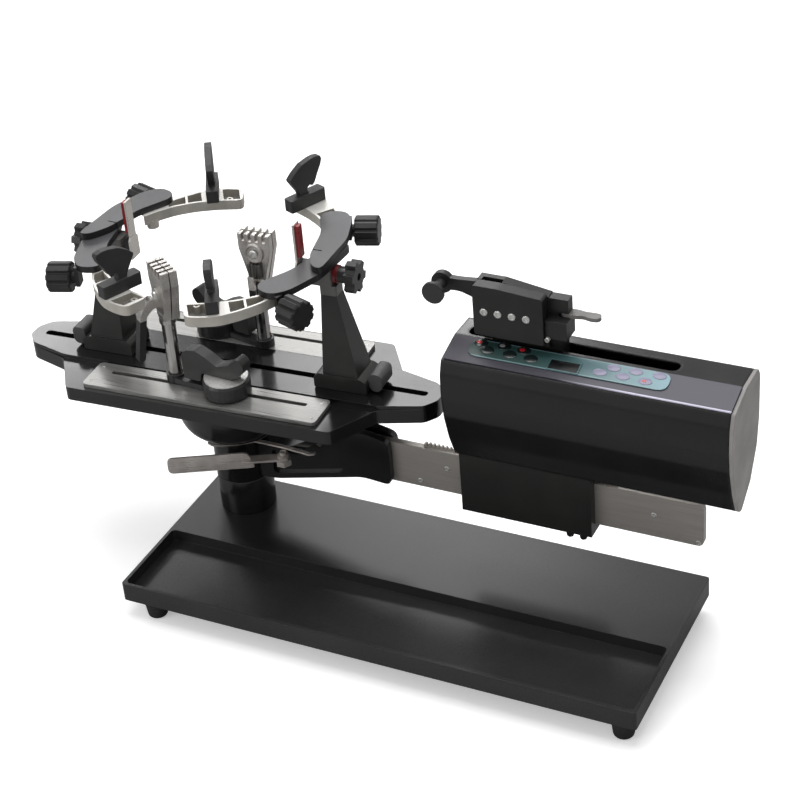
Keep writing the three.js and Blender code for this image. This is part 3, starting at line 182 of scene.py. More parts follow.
def shade(tree, colour, grain, rough, relief=None, strength=0.1, depth=0.2, edge=0.7, **constants):
    """A surface with softened edges, whose roughness and relief follow a grain.

    rough is the lowest and the highest roughness, reached where the noise is at its low and its high.
    depth and edge are in millimetres.
    """
    roughness = add(tree, "MapRange", {
        "Value": grain, "From Min": noise_low, "From Max": noise_high,
        "To Min": rough[0], "To Max": rough[1]})
    soft = add(tree, "Bevel", {"Radius": edge / 1000}, samples=3)
    normal = add(tree, "Bump", {"Height": grain if relief is None else relief, "Strength": strength,
                                "Distance": depth / 1000, "Normal": soft})
    inputs = {"Base Color": colour, "Roughness": roughness, "Normal": normal}
    inputs.update({name.replace("_", " "): value for name, value in constants.items()})
    add(tree, "OutputMaterial", {"Surface": add(tree, "BsdfPrincipled", inputs)})


def dress(finish, *names):
    """Gives nodes of the frame their finish."""
    for name in names:
        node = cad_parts[name]
        node.data.materials.clear()
        node.data.materials.append(finish)


def piece(name, bm, place, finish, body):
    """A mesh in millimetres carried to its place, with its finish and its body."""
    bmesh.ops.remove_doubles(bm, verts=bm.verts, dist=1e-4)
    bmesh.ops.transform(bm, matrix=place, verts=bm.verts)
    bmesh.ops.recalc_face_normals(bm, faces=bm.faces)
    mesh = bpy.data.meshes.new(name)
    bm.to_mesh(mesh)
    bm.free()
    mesh.polygons.foreach_set("use_smooth", [True] * len(mesh.polygons))
    mesh.set_sharp_from_angle(angle=math.radians(crease))
    mesh.materials.append(finish)
    made = bpy.data.objects.new(name, mesh)
    bpy.context.scene.collection.objects.link(made)
    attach(made, body)
    return made


def lathe(bm, profile, steps, place=Matrix()):
    """Turns a profile of (radius, height) about Z, closes it, and carries it to its place."""
    before = set(bm.verts)
    verts = [bm.verts.new((radius, 0, height)) for radius, height in profile]
    edges = [bm.edges.new(pair) for pair in zip(verts, verts[1:])]
    bmesh.ops.spin(bm, geom=verts + edges, cent=(0, 0, 0), axis=(0, 0, 1), angle=2 * math.pi, steps=steps,
                   use_merge=True)
    bmesh.ops.transform(bm, matrix=place, verts=[v for v in bm.verts if v not in before])


# Stoving enamel, sprayed and baked: deep black gloss with faint orange peel and a film of dust.
# The rolled shell's coat is the same, but its sheet bends at a wider radius, so its edges are softer.
enamel, tree = material("black_gloss_stoving_enamel")
dust, peel = patches(tree, size=71.4, detail=6), patches(tree, size=1.43, detail=2)
shade(tree, add(tree, "ValToRGB", {"Fac": dust}, stops=((0.35, "#0b0b0c"), (0.7, "#151516"))), dust,
      rough=(0.17, 0.23), relief=peel, strength=0.05, depth=0.3, Coat_Weight=0.2, Coat_Roughness=0.12)
dress(enamel, "support_arm", "turntable_body", "column", "brake_hub")
shell_enamel, tree = material("black_enamel_on_rolled_shell")
dust, peel = patches(tree, size=71.4, detail=6), patches(tree, size=1.43, detail=2)
shade(tree, add(tree, "ValToRGB", {"Fac": dust}, stops=((0.35, "#0b0b0c"), (0.7, "#151515"))), dust,
      rough=(0.2, 0.28), relief=peel, strength=0.05, depth=0.3, edge=4, Coat_Weight=0.15,
      Coat_Roughness=0.15)
dress(shell_enamel, "housing_shell")
# Base coat, sprayed without polish: a shade lighter, with a broad soft sheen.
base_coat, tree = material("black_semi_gloss_base_coat")
film, grain = patches(tree, size=111, detail=6), patches(tree, size=0.714, detail=3)
shade(tree, add(tree, "ValToRGB", {"Fac": film}, stops=((0.3, "#1c1c1c"), (0.7, "#282828"))), grain,
      rough=(0.26, 0.36), strength=0.12, depth=0.1)
dress(base_coat, "base_tray")

# The rim is rounded through one point, which lies three tenths of the round in from its corner.
fine_steps = 96
column_radius, column_round = 33, 1.5
round_inset = 0.3 * column_round
low, high = column_low.z * 1000, column_high.z * 1000
bm = bmesh.new()
lathe(bm, [(0, low), (column_radius, low), (column_radius, high - column_round),
           (column_radius - round_inset, high - round_inset), (column_radius - column_round, high),
           (0, high)], fine_steps)
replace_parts(piece("column_tube", bm, base, enamel, "base"), "column")

ring_low, ring_high, ring_inside, ring_skin, ring_edge = 92.3, 145.2, 28, 0.12, 0.6
ring_radius = column_radius + ring_skin
bm = bmesh.new()
lathe(bm, [(ring_inside, ring_low), (ring_radius - ring_edge, ring_low),
           (ring_radius, ring_low + ring_edge), (ring_radius, ring_high - ring_edge),
           (ring_radius - ring_edge, ring_high), (ring_inside, ring_high), (ring_inside, ring_low)],
      fine_steps)
piece("support_ring_skin", bm, base, enamel, "base")

# The bowl's outside is drawn in shares of its radius and its height, from the spindle to the rim.
hub_top, hub_height, hub_radius, hub_wall = -22.3, 63, 70, 5
spindle_radius, spindle_length, spindle_edge = 11, 55, 1
hub_low = hub_top - hub_height
spindle_low = hub_low - spindle_length
bowl = [(0.55, 0), (0.64, 0.03), (0.72, 0.07), (0.8, 0.13), (0.86, 0.2), (0.9, 0.27), (0.93, 0.35),
        (0.955, 0.48), (0.975, 0.64), (0.99, 0.82), (1, 1)]
outside = [(hub_radius * r, hub_low + hub_height * h) for r, h in bowl]
inside = [(r - hub_wall, max(z, hub_low + hub_wall)) for r, z in reversed(outside)]
bm = bmesh.new()
lathe(bm, [(0, spindle_low), (spindle_radius - spindle_edge, spindle_low),
           (spindle_radius, spindle_low + spindle_edge), (spindle_radius, hub_low),
           *outside, *inside, (0, hub_low + hub_wall)], fine_steps)
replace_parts(piece("hub_bowl", bm, table, enamel, "turntable"), "brake_hub")

# Feet: black rubber with a moulded lip and a deep recess for a screw, one under each corner.
# Pushed up against the underside of the base and held by one screw each.
# Moulded rubber: a dull, slightly pitted black that takes dust.
rubber, tree = material("moulded_black_rubber")
grain = patches(tree, size=1.11, detail=4)
shade(tree, add(tree, "ValToRGB", {"Fac": grain}, stops=((0.3, "#121213"), (0.7, "#222223"))), grain,
      rough=(0.62, 0.85), strength=0.3)
# Zinc plate, barrel-plated: bright, a little cloudy, and never quite mirror-like.
zinc, tree = material("zinc_plated_screw_steel")
cloud = patches(tree, size=3.85, detail=4)
shade(tree, add(tree, "ValToRGB", {"Fac": cloud}, stops=((0.3, "#c9c9c6"), (0.7, "#e4e4e1"))), cloud,
      rough=(0.22, 0.36), strength=0.08, Metallic=0.8)


def screw(bm, x, y, z, radius, height, toward="Z", socket=True):
    """A round-headed screw on a face, looking along an axis; its rounding is in shares of its head."""
    sunk = 0.3
    turn = {"Z": Matrix(), "-Z": Matrix.Rotation(math.pi, 4, "X"),
            "-Y": Matrix.Rotation(math.pi / 2, 4, "X")}[toward]
    crown = [(0, height)]
    if socket:
        crown = [(radius * 0.48, height), (radius * 0.42, height * 0.35), (0, height * 0.35)]
    lathe(bm, [(0, -sunk), (radius, -sunk), (radius, height * 0.45), (radius * 0.93, height * 0.8),
               (radius * 0.78, height), *crown], steps=24, place=Matrix.Translation((x, y, z)) @ turn)


foot_radius, neck_radius, sole_radius = 14, 11.6, 9
lip_height, lip_round, neck_flare = 3.6, 0.6, (0.8, 0.9)
well_radius, well_depth, well_edge = 4.5, 5, 0.4
# The sole's edge is rounded, in steps outward and upward from its flat ring.
sole_round = [(0, 0), (1.4, 0.5), (2.2, 1.6), (neck_radius - sole_radius, 3)]
foot_screw_radius, foot_screw_height = 3.6, 2.2
for name in ("foot_front_left", "foot_front_right", "foot_rear_left", "foot_rear_right"):
    low, high = (1000 * (corner - axis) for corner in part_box(name))
    x, y, top = (low.x + high.x) / 2, (low.y + high.y) / 2, high.z
    bm = bmesh.new()
    lathe(bm, [(0, well_depth), (well_radius, well_depth), (well_radius, well_edge),
               (well_radius + well_edge, 0), *[(sole_radius + out, rise) for out, rise in sole_round],
               (foot_radius - neck_flare[0], top - lip_height - neck_flare[1]),
               (foot_radius, top - lip_height), (foot_radius, top - lip_round),
               (foot_radius - lip_round, top), (0, top)], steps=48, place=Matrix.Translation((x, y, 0)))
    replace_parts(piece(name + "_rubber", bm, base, rubber, "base"), name)
    bm = bmesh.new()
    screw(bm, x, y, well_depth, foot_screw_radius, foot_screw_height, "-Z")
    piece(name + "_screw", bm, base, zinc, "base")

# Clamp rails: two slotted plates of brushed stainless steel let into the wings.
# Ground along their length, and held at each end by two flush screws.
# Brushed steel: fine streaks along the rail, under a few broad stains that dull it.
brushed, tree = material("brushed_stainless_steel")
streak = patches(tree, size=1.11, detail=3, stretch=(0.012, 1, 1), turn=yaw)
stain = patches(tree, size=55.6, detail=4)
tone = add(tree, "ValToRGB", {"Fac": streak}, stops=((0.32, "#8f8f8e"), (0.68, "#b4b4b2")))
most_stained = 0.35
stained = add(tree, "MapRange", {
    "Value": stain, "From Min": noise_low, "From Max": noise_high, "To Max": most_stained})
shade(tree, add(tree, "MixRGB", {"Fac": stained, "Color1": tone, "Color2": "#a5a19d"}), streak,
      rough=(0.26, 0.44), depth=0.1, edge=0.4, Metallic=0.8)
dress(brushed, "front_clamp_rail", "rear_clamp_rail")
rail_rows, rail_end, screw_inset, screw_aside = (-65, 61.5), 146, 8, 15
rail_screw_radius, rail_screw_height = 1.8, 0.4
bm = bmesh.new()
for row in rail_rows:
    for along in (screw_inset - rail_end, rail_end - screw_inset):
        for aside in (-screw_aside, screw_aside):
            screw(bm, along, row + aside, 0, rail_screw_radius, rail_screw_height)
piece("clamp_rail_screws", bm, table, zinc, "turntable")

# Turntable brake: a hooked strip of spring steel and a lever with an upright paddle.
# Both are pressed and nickel plated, and a bolt with a hex nut holds them.
# Nickel plate: warm grey, bright and a little cloudy, with fine scratches along the parts.
nickel, tree = material("nickel_plated_steel")
cloud = patches(tree, size=16.7, detail=5)
scratch = patches(tree, size=1.43, detail=3, stretch=(0.05, 0.05, 1))
shade(tree, add(tree, "ValToRGB", {"Fac": cloud}, stops=((0.3, "#b5aea9"), (0.7, "#d0cac5"))), scratch,
      rough=(0.24, 0.4), strength=0.06, depth=0.1, Metallic=0.65)
dress(nickel, "brake_strip", "brake_lever", "brake_bolt")

# Towers: cast pillars with a bearing block at the head, bolted to feet that slide on the rail.
# The tower locks behind them are moulded levers.


def height_mask(tree, height, soft=0.0003):
    """0 below a height above the floor and 1 above it, in metres."""
    place = add(tree, "SeparateXYZ", {"Vector": add(tree, "TexCoord", give="Object")}, give="Z")
    return add(tree, "MapRange", {"Value": place, "From Min": height - soft, "From Max": height + soft})


# Powder coat, baked: satin black on the pillar and grey on the bearing block, with a fine sandy grain.
bearing_low = 0.1152
tower_paint, tree = material("two_tone_tower_paint")
grain, film = patches(tree, size=0.667, detail=3), patches(tree, size=45.5, detail=5)
dark = add(tree, "ValToRGB", {"Fac": film}, stops=((0.3, "#191918"), (0.7, "#262624")))
light = add(tree, "ValToRGB", {"Fac": film}, stops=((0.3, "#4c4b49"), (0.7, "#62615f")))
at_bearing = height_mask(tree, rail_top + bearing_low)
shade(tree, add(tree, "MixRGB", {"Fac": at_bearing, "Color1": dark, "Color2": light}), grain,
      rough=(0.28, 0.42), strength=0.12, depth=0.1)
dress(tower_paint, "tower_right", "tower_left")
# Glass-filled nylon, moulded: mid grey with light flecks where fibres come to the surface.
nylon, tree = material("glass_filled_grey_nylon")
fleck = patches(tree, size=0.455, detail=2)
shade(tree, add(tree, "ValToRGB", {"Fac": fleck}, stops=((0.35, "#3b3b3c"), (0.7, "#4b4b4c"))), fleck,
      rough=(0.36, 0.5), strength=0.18, depth=0.1)
dress(nylon, "tower_lock_right", "tower_lock_left")

# Side arms: thick crooked plates of cast aluminium, two on each tower, crossing at the pivot pin.
# They are painted black, and their top faces are painted lighter as painted light falling from above.


def up_mask(tree):
    """1 on faces that look up and 0 on the others."""
    facing = add(tree, "SeparateXYZ", {"Vector": add(tree, "TexCoord", give="Normal")}, give="Z")
    return add(tree, "MapRange", {"Value": facing, "From Min": 0.75, "From Max": 0.97})


# Satin lacquer with painted light: the top faces are painted dark grey as if lit, and the sides plain black
# as if in shade.
arm_paint_with_lit_tops, tree = material("satin_arm_lacquer_with_painted_light")
grain, film = patches(tree, size=0.769, detail=4), patches(tree, size=62.5, detail=5)
lit_top_tone = add(tree, "ValToRGB", {"Fac": film}, stops=((0.3, "#3d3d3f"), (0.7, "#4d4d4f")))
# Painted light: faces that look up take the lit top tone, the others the shaded black.
shade(tree, add(tree, "MixRGB", {"Fac": up_mask(tree), "Color1": "#1b1b1c", "Color2": lit_top_tone}), grain,
      rough=(0.34, 0.46), strength=0.14, depth=0.1)
spots = ["right_rear", "left_rear", "right_front", "left_front"]
dress(arm_paint_with_lit_tops, *["side_arm_" + spot for spot in spots])

# Extension castings: pocketed crescents of cast aluminium under the side arms.
# Sand cast, with rims lighter on their top faces, and with a turned boss in the pocket that takes the arm's
# screw.


def casting(name, rim_height):
    """Cast aluminium: warm grey sides, pocket floors painted darker as painted shade, and rims lighter on
    their top faces.
    """
    rim_depth, rim_soft = 0.0004, 0.0001
    made, tree = material(name)
    grain, cloud = patches(tree, size=0.625, detail=4), patches(tree, size=22.2, detail=5)
    side = add(tree, "ValToRGB", {"Fac": cloud}, stops=((0.3, "#aeaaa2"), (0.7, "#c6c2ba")))
    shaded_pocket = add(tree, "ValToRGB", {"Fac": grain}, stops=((0.3, "#6f6d69"), (0.7, "#8b8985")))
    rim = add(tree, "ValToRGB", {"Fac": cloud}, stops=((0.3, "#d3d1cc"), (0.7, "#e3e1dc")))
    # Painted shade: faces that look up below the rims, the pocket floors, take the darker pocket tone.
    low = add(tree, "MixRGB", {"Fac": up_mask(tree), "Color1": side, "Color2": shaded_pocket})
    at_rim = height_mask(tree, rim_height - rim_depth, rim_soft)
    shade(tree, add(tree, "MixRGB", {"Fac": at_rim, "Color1": low, "Color2": rim}), grain,
          rough=(0.36, 0.52), strength=0.25, Metallic=0.55)
    return made


rear_casting = casting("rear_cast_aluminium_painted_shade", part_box("extension_left_rear")[1].z)
front_casting = casting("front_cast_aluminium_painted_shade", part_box("extension_left_front")[1].z)
dress(rear_casting, "extension_right_rear", "extension_left_rear")
dress(front_casting, "extension_right_front", "extension_left_front")
# Turned aluminium: bright and almost smooth, with crisp edges.
turned_boss, tree = material("turned_aluminium_boss")
turning = patches(tree, size=0.667, detail=3)
shade(tree, add(tree, "ValToRGB", {"Fac": turning}, stops=((0.3, "#b9b5ae"), (0.7, "#d3cfc8"))), turning,
      rough=(0.3, 0.42), depth=0.1, edge=0.3, Metallic=0.7)
boss_radius, boss_edge, boss_hole, hole_depth = 4, 0.4, 1.8, 4
pocket_floor, boss_sunk, below_rim = 9.3, 0.3, 1.2
arm_bottoms = {"rear": 157.3, "front": 149.3}
boss_spots = {"left_rear": (-29, 98.8), "right_front": (37.4, -116.1), "left_front": (-34.8, -122.7)}
for spot, (along, across) in boss_spots.items():
    arm_bottom = arm_bottoms[spot.split("_")[1]]
    low, high = arm_bottom - pocket_floor - boss_sunk, arm_bottom - below_rim
    bm = bmesh.new()
    lathe(bm, [(0, low), (boss_radius + boss_edge, low), (boss_radius, high - boss_edge),
               (boss_radius - boss_edge, high), (boss_hole, high), (boss_hole, high - hole_depth),
               (0, high - hole_depth)], steps=32, place=Matrix.Translation((along, across, 0)))
    piece("casting_boss_" + spot, bm, table, turned_boss, "extension_%s_body" % spot)

# Hooks: frame supports moulded in nylon, a block with a curved blade.
# Each is screwed to the end of its extension casting, and strings polish the blade's edges.
# Spark-eroded mould texture: a matte black that catches light only where it is worn.
hook_nylon, tree = material("matte_black_nylon")
spark, cloud = patches(tree, size=0.526, detail=3), patches(tree, size=33.3, detail=4)
shade(tree, add(tree, "ValToRGB", {"Fac": cloud}, stops=((0.3, "#1f1f20"), (0.7, "#2d2d2d"))), spark,
      rough=(0.42, 0.6), strength=0.3, depth=0.1, edge=1.2)
dress(hook_nylon, *["hook_" + spot for spot in spots])

# Round knobs: fluted phenolic handwheels at the ends of the castings.
# They are moulded in one piece and screwed on to the clamping spindles.
# Phenolic: deep black with a fine speckle, a little glossier where hands wear it.
phenolic, tree = material("black_phenolic")
speck, cloud = patches(tree, size=0.385, detail=2), patches(tree, size=20, detail=4)
shade(tree, add(tree, "ValToRGB", {"Fac": cloud}, stops=((0.3, "#151515"), (0.7, "#222221"))), speck,
      rough=(0.26, 0.42), strength=0.15, depth=0.1)
dress(phenolic, *["knob_" + spot for spot in spots])

# String clamps: cast base cups with a steel cap, cam levers, chromed posts and toothed comb jaws.
# The cup slides in its rail's slot, and the jaws are pinned together and closed by one screw.
# Cup paint: dark grey up to the cap, which is bare turned steel.
cap_low = 0.0202
cup_paint, tree = material("dark_grey_cup_paint")
grain, film = patches(tree, size=0.667, detail=3), patches(tree, size=25, detail=5)
paint = add(tree, "ValToRGB", {"Fac": film}, stops=((0.3, "#1c1c1c"), (0.7, "#282828")))
steel = add(tree, "ValToRGB", {"Fac": film}, stops=((0.3, "#bdbcba"), (0.7, "#d6d5d3")))
at_cap = height_mask(tree, rail_top + cap_low)
shade(tree, add(tree, "MixRGB", {"Fac": at_cap, "Color1": paint, "Color2": steel}), grain,
      rough=(0.24, 0.36), strength=0.12, depth=0.1,
      Metallic=add(tree, "MapRange", {"Value": at_cap, "To Max": 0.55}))
# Cam paint: the same grain in a lighter grey, rubbed by the hand.
cam_paint, tree = material("grey_cam_paint")
grain, film = patches(tree, size=0.667, detail=3), patches(tree, size=25, detail=5)
shade(tree, add(tree, "ValToRGB", {"Fac": film}, stops=((0.3, "#242423"), (0.7, "#313130"))), grain,
      rough=(0.28, 0.42), strength=0.14, depth=0.1)
# Chromed rod: a mirror with faint wiping marks along its length.
chrome, tree = material("chromed_steel_rod")
wipe = patches(tree, size=1.67, detail=3, stretch=(1, 1, 0.03))
shade(tree, add(tree, "ValToRGB", {"Fac": wipe}, stops=((0.3, "#b9b6b4"), (0.7, "#dad8d6"))), wipe,
      rough=(0.1, 0.2), strength=0.04, depth=0.1, Metallic=1.0)
# Tumbled castings: pale metal with a soft grain, and black plastic on the grips below it.
metal_low = 0.0835
tumbled, tree = material("tumbled_cast_aluminium")
grain, cloud = patches(tree, size=0.588, detail=4), patches(tree, size=16.7, detail=5)
at_metal = height_mask(tree, rail_top + metal_low)
metal = add(tree, "ValToRGB", {"Fac": cloud}, stops=((0.3, "#bdb9b5"), (0.7, "#dad6d2")))
shade(tree, add(tree, "MixRGB", {"Fac": at_metal, "Color1": "#191919", "Color2": metal}), grain,
      rough=(0.22, 0.38), strength=0.2, Metallic=at_metal)
for side in ("front", "rear"):
    dress(cup_paint, "clamp_base_" + side)
    dress(cam_paint, "clamp_cam_" + side)
    dress(chrome, "clamp_post_" + side)
    dress(tumbled, "clamp_head_" + side, "clamp_jaw_" + side)

# Each clamp's place is its post's, along and across the turntable, and its turn in degrees.
clamp_places = {"front": ((-43.5, -49), -38), "rear": ((23, 46), 0)}
jaw_screw_heights = {"front": 117, "rear": 127}
jaw_middle, jaw_face, jaw_screw_gap = 6, 9.6, 3
jaw_screw_radius, jaw_screw_height = 5.2, 2.4
clamp_frames = {}
for side, (post, turn) in clamp_places.items():
    place = table @ Matrix.Translation((*post, 0)) @ Matrix.Rotation(math.radians(turn), 4, "Z")
    clamp_frames[side] = place
    bm = bmesh.new()
    screw(bm, jaw_middle, -jaw_face - jaw_screw_gap, jaw_screw_heights[side], jaw_screw_radius,
          jaw_screw_height, "-Y")
    piece("clamp_jaw_screw_" + side, bm, place, zinc, "clamp_jaw_%s_body" % side)

# Rear clamp's moving jaw: a toothed comb plate on its knuckle, with a wide disc, a ribbed block and a grip.
# Cast like the others, but its black grip hangs straight down in front of the post.
# Its outlines lie in the plate's own plane, across and up, and heights run out from the plate's back.


def prism(bm, outline, low, high, bevel):
    """Raises an outline from one height to another, with a small bevel all round."""
    before = set(bm.verts)
    face = bm.faces.new([bm.verts.new((x, y, low)) for x, y in outline])
    raised = bmesh.ops.extrude_face_region(bm, geom=[face])["geom"]
    lifted = [v for v in raised if isinstance(v, bmesh.types.BMVert)]
    bmesh.ops.translate(bm, vec=(0, 0, high - low), verts=lifted)
    edges = [e for e in bm.edges if e.verts[0] not in before]
    bmesh.ops.bevel(bm, geom=edges, offset=bevel, segments=2, affect="EDGES", profile=0.5, material=-1)


def oval(width, depth, x, y):
    """The points of an oval about a middle."""
    steps = 32
    angles = [2 * math.pi * i / steps for i in range(steps)]
    return [(x + width / 2 * math.cos(angle), y + depth / 2 * math.sin(angle)) for angle in angles]


comb_width, comb_foot, comb_low, comb_top, plate_back, plate_edge = 39, 16, 85.2, 150, 0.6, 0.5
teeth, tooth_depth, tooth_share = 5, 9, 0.56
comb_left, shoulder = jaw_middle - comb_width / 2, comb_top - comb_width / 2
pitch = comb_width / (teeth - 1 + tooth_share)
comb = [(jaw_middle - comb_foot / 2, comb_low), (jaw_middle + comb_foot / 2, comb_low),
        (jaw_middle + comb_width / 2, shoulder)]
for i in reversed(range(teeth)):
    start = comb_left + i * pitch
    comb += [(start + tooth_share * pitch, comb_top), (start, comb_top)]
    if i:
        comb += [(start, comb_top - tooth_depth),
                 (start - (1 - tooth_share) * pitch, comb_top - tooth_depth)]
comb.append((comb_left, shoulder))

jaw_frame = clamp_frames["rear"] @ Matrix.Rotation(math.pi / 2, 4, "X")
sunk = 0.3
disc_radius, disc_rise, disc_edge, disc_rim, dish_inset, dish_depth = 11.5, 3, 0.6, 2.2, 3, 1
disc_low, disc_high = jaw_face - sunk, jaw_face + disc_rise
knuckle_radius, knuckle_height, knuckle_edge = 5.4, 90.6, 0.5
knuckle_middle = (plate_back + jaw_face) / 2
knuckle_place = Matrix.Translation((jaw_middle - comb_foot / 2, knuckle_height, knuckle_middle))
grip_width, grip_low, grip_top, grip_middle, grip_tip, grip_chamfer = 8, 50, 100, 2, 1, 2
grip_clear, grip_thick, grip_edge = 5, 5.2, 0.9
root_height, root_thick, root_edge = 11, 4.6, 0.6
grip_left, grip_right = grip_middle - grip_width / 2, grip_middle + grip_width / 2
grip = [(grip_left, grip_low + grip_chamfer), (grip_middle - grip_tip, grip_low),
        (grip_middle + grip_tip, grip_low), (grip_right, grip_low + grip_chamfer), (grip_right, grip_top),
        (grip_left, grip_top)]
bm = bmesh.new()
prism(bm, comb, plate_back, jaw_face, plate_edge)
lathe(bm, [(0, disc_low), (disc_radius, disc_low), (disc_radius, disc_high - disc_edge),
           (disc_radius - disc_edge, disc_high), (disc_radius - disc_rim, disc_high),
           (disc_radius - dish_inset, disc_high - dish_depth), (0, disc_high - dish_depth)],
      steps=48, place=Matrix.Translation((jaw_middle, jaw_screw_heights["rear"], 0)))
lathe(bm, [(0, 0), (knuckle_radius - knuckle_edge, 0), (knuckle_radius, knuckle_edge),
           (knuckle_radius, comb_foot - knuckle_edge), (knuckle_radius - knuckle_edge, comb_foot),
           (0, comb_foot)], steps=32, place=knuckle_place @ Matrix.Rotation(math.pi / 2, 4, "Y"))
prism(bm, grip, jaw_face + grip_clear, jaw_face + grip_clear + grip_thick, grip_edge)
prism(bm, oval(grip_width, root_height, grip_middle, grip_top - root_height / 2),
      jaw_face - sunk, jaw_face + grip_clear + root_thick, root_edge)
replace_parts(piece("clamp_jaw_rear_comb", bm, jaw_frame, tumbled, "clamp_jaw_rear_body"),
            "clamp_jaw_rear")

# Dark nickel: brown-grey metal, scored along the ribs so that it glints in lines.
dark_nickel, tree = material("ribbed_dark_nickel")
score = patches(tree, size=2, detail=2, stretch=(1, 1, 0.1))
shade(tree, add(tree, "ValToRGB", {"Fac": score}, stops=((0.3, "#4a4846"), (0.7, "#75726f"))), score,
      rough=(0.26, 0.4), strength=0.4, Metallic=0.8)
block_width, block_low, block_top, block_rise, block_edge = 16, 97, 114.5, 5.2, 0.5
ribs, rib_share, rib_rise, rib_over = 4, 0.75, 1, 1
block_left = jaw_middle - block_width / 2
rib_pitch = block_width / ribs
rib_width = rib_share * rib_pitch
bm = bmesh.new()
for i in range(ribs):
    left = block_left + rib_pitch * i
    prism(bm, [(left, block_low), (left + rib_width, block_low), (left + rib_width, block_top),
               (left, block_top)], jaw_face - sunk, jaw_face + block_rise + rib_rise, block_edge)
prism(bm, [(block_left, block_low + rib_over), (block_left + block_width, block_low + rib_over),
           (block_left + block_width, block_top - rib_over), (block_left, block_top - rib_over)],
      jaw_face - sunk, jaw_face + block_rise, block_edge)
piece("clamp_jaw_rear_block", bm, jaw_frame, dark_nickel, "clamp_jaw_rear_body")

# Frame holders: a steel plate with a red rubber pad and a black plastic backing.
# The pad is glued to the plate, and the rod behind it runs through the tower's bearing.


def radius_and_height(tree):
    """The distance from the column's axis and the height above the floor, in metres."""
    place = add(tree, "VectorMath", {0: add(tree, "TexCoord", give="Object"), 1: -axis}, operation="ADD")
    flat = add(tree, "VectorMath", {0: place, 1: (1, 1, 0)}, operation="MULTIPLY")
    away = add(tree, "VectorMath", {0: flat}, give="Value", operation="LENGTH")
    return away, add(tree, "SeparateXYZ", {"Vector": place}, give="Z")


def where_all(tree, *masks):
    """1 only where every mask is 1."""
    total = masks[0]
    for mask in masks[1:]:
        total = add(tree, "Math", {0: total, 1: mask}, operation="MULTIPLY")
    return total


# Ground steel, a dull dark red rubber and black plastic, parted by their distance and height.
plate_face, backing_end, pad_low, mask_soft = 0.1046, 0.1116, rail_top + 0.151, 0.0001
holder, tree = material("holder_steel_with_red_pad")
away, height = radius_and_height(tree)
streak = patches(tree, size=1.25, detail=3, stretch=(0.05, 0.05, 1))
steel = add(tree, "ValToRGB", {"Fac": streak}, stops=((0.3, "#cbc6c0"), (0.7, "#dad6d0")))
beyond = add(tree, "MapRange", {
    "Value": away, "From Min": plate_face - mask_soft, "From Max": plate_face + mask_soft})
above = add(tree, "MapRange", {
    "Value": height, "From Min": pad_low - mask_soft, "From Max": pad_low + mask_soft})
below = add(tree, "Math", {0: 1.0, 1: above}, operation="SUBTRACT")
before_end = add(tree, "MapRange", {
    "Value": away, "From Min": backing_end - mask_soft, "From Max": backing_end + mask_soft,
    "To Min": 1, "To Max": 0})
padded, backed = where_all(tree, beyond, above), where_all(tree, beyond, below, before_end)
colour = add(tree, "MixRGB", {"Fac": padded, "Color1": steel, "Color2": "#7d1418"})
colour = add(tree, "MixRGB", {"Fac": backed, "Color1": colour, "Color2": "#131313"})
covered = add(tree, "Math", {0: padded, 1: backed}, operation="ADD")
shade(tree, colour, streak, rough=(0.26, 0.38), strength=0.02, depth=0.1,
      Metallic=add(tree, "MapRange", {"Value": covered, "To Min": 0.6, "To Max": 0}))
dress(holder, "center_holder_right", "center_holder_left")

# Star knobs: black phenolic stars on a dark red anodised collar.
# The collar sits against the tower's bearing, and the star is screwed to its spindle.
# Phenolic with a fine speckle, and anodised aluminium in a deep, slightly uneven red.
collar_end = 0.1517
star, tree = material("star_knob_with_red_collar")
away = radius_and_height(tree)[0]
speck = patches(tree, size=0.385, detail=2)
black = add(tree, "ValToRGB", {"Fac": speck}, stops=((0.3, "#171717"), (0.7, "#242423")))
dye = patches(tree, size=2, detail=3)
red = add(tree, "ValToRGB", {"Fac": dye}, stops=((0.3, "#4a0c10"), (0.7, "#64161b")))
at_star = add(tree, "MapRange", {
    "Value": away, "From Min": collar_end - mask_soft, "From Max": collar_end + mask_soft})
shade(tree, add(tree, "MixRGB", {"Fac": at_star, "Color1": red, "Color2": black}), speck,
      rough=(0.24, 0.4), strength=0.12, depth=0.1)
dress(star, "star_knob_right", "star_knob_left")

# Rack bar: a ground steel bar with rack teeth cut in its rear edge, where the trolley's pinion runs.
# It is pushed into the support arm, and four flush screws are let into its face.
# Ground steel: long fine streaks along the bar, under a thin uneven film of oil.
ground, tree = material("ground_bar_steel")
streak = patches(tree, size=1.43, detail=4, stretch=(0.02, 1, 1))
cloud = patches(tree, size=62.5, detail=5)
tone = add(tree, "ValToRGB", {"Fac": streak}, stops=((0.3, "#a39e99"), (0.7, "#b2ada8")))
most_oiled = 0.35
oiled = add(tree, "MapRange", {
    "Value": cloud, "From Min": noise_low, "From Max": noise_high, "To Max": most_oiled})
shade(tree, add(tree, "MixRGB", {"Fac": oiled, "Color1": tone, "Color2": "#a29d98"}), streak,
      rough=(0.3, 0.44), strength=0.06, depth=0.1, edge=0.4, Metallic=0.6)
dress(ground, "rack_bar")
bar_face, bar_screw_radius, bar_screw_height = -4, 3.2, 0.5
bar_screws = [(235, 131), (269, 155), (512, 152), (562, 127)]
bm = bmesh.new()
for x, z in bar_screws:
    screw(bm, x, bar_face, z, bar_screw_radius, bar_screw_height, "-Y")
piece("rack_bar_screws", bm, base, zinc, "base")

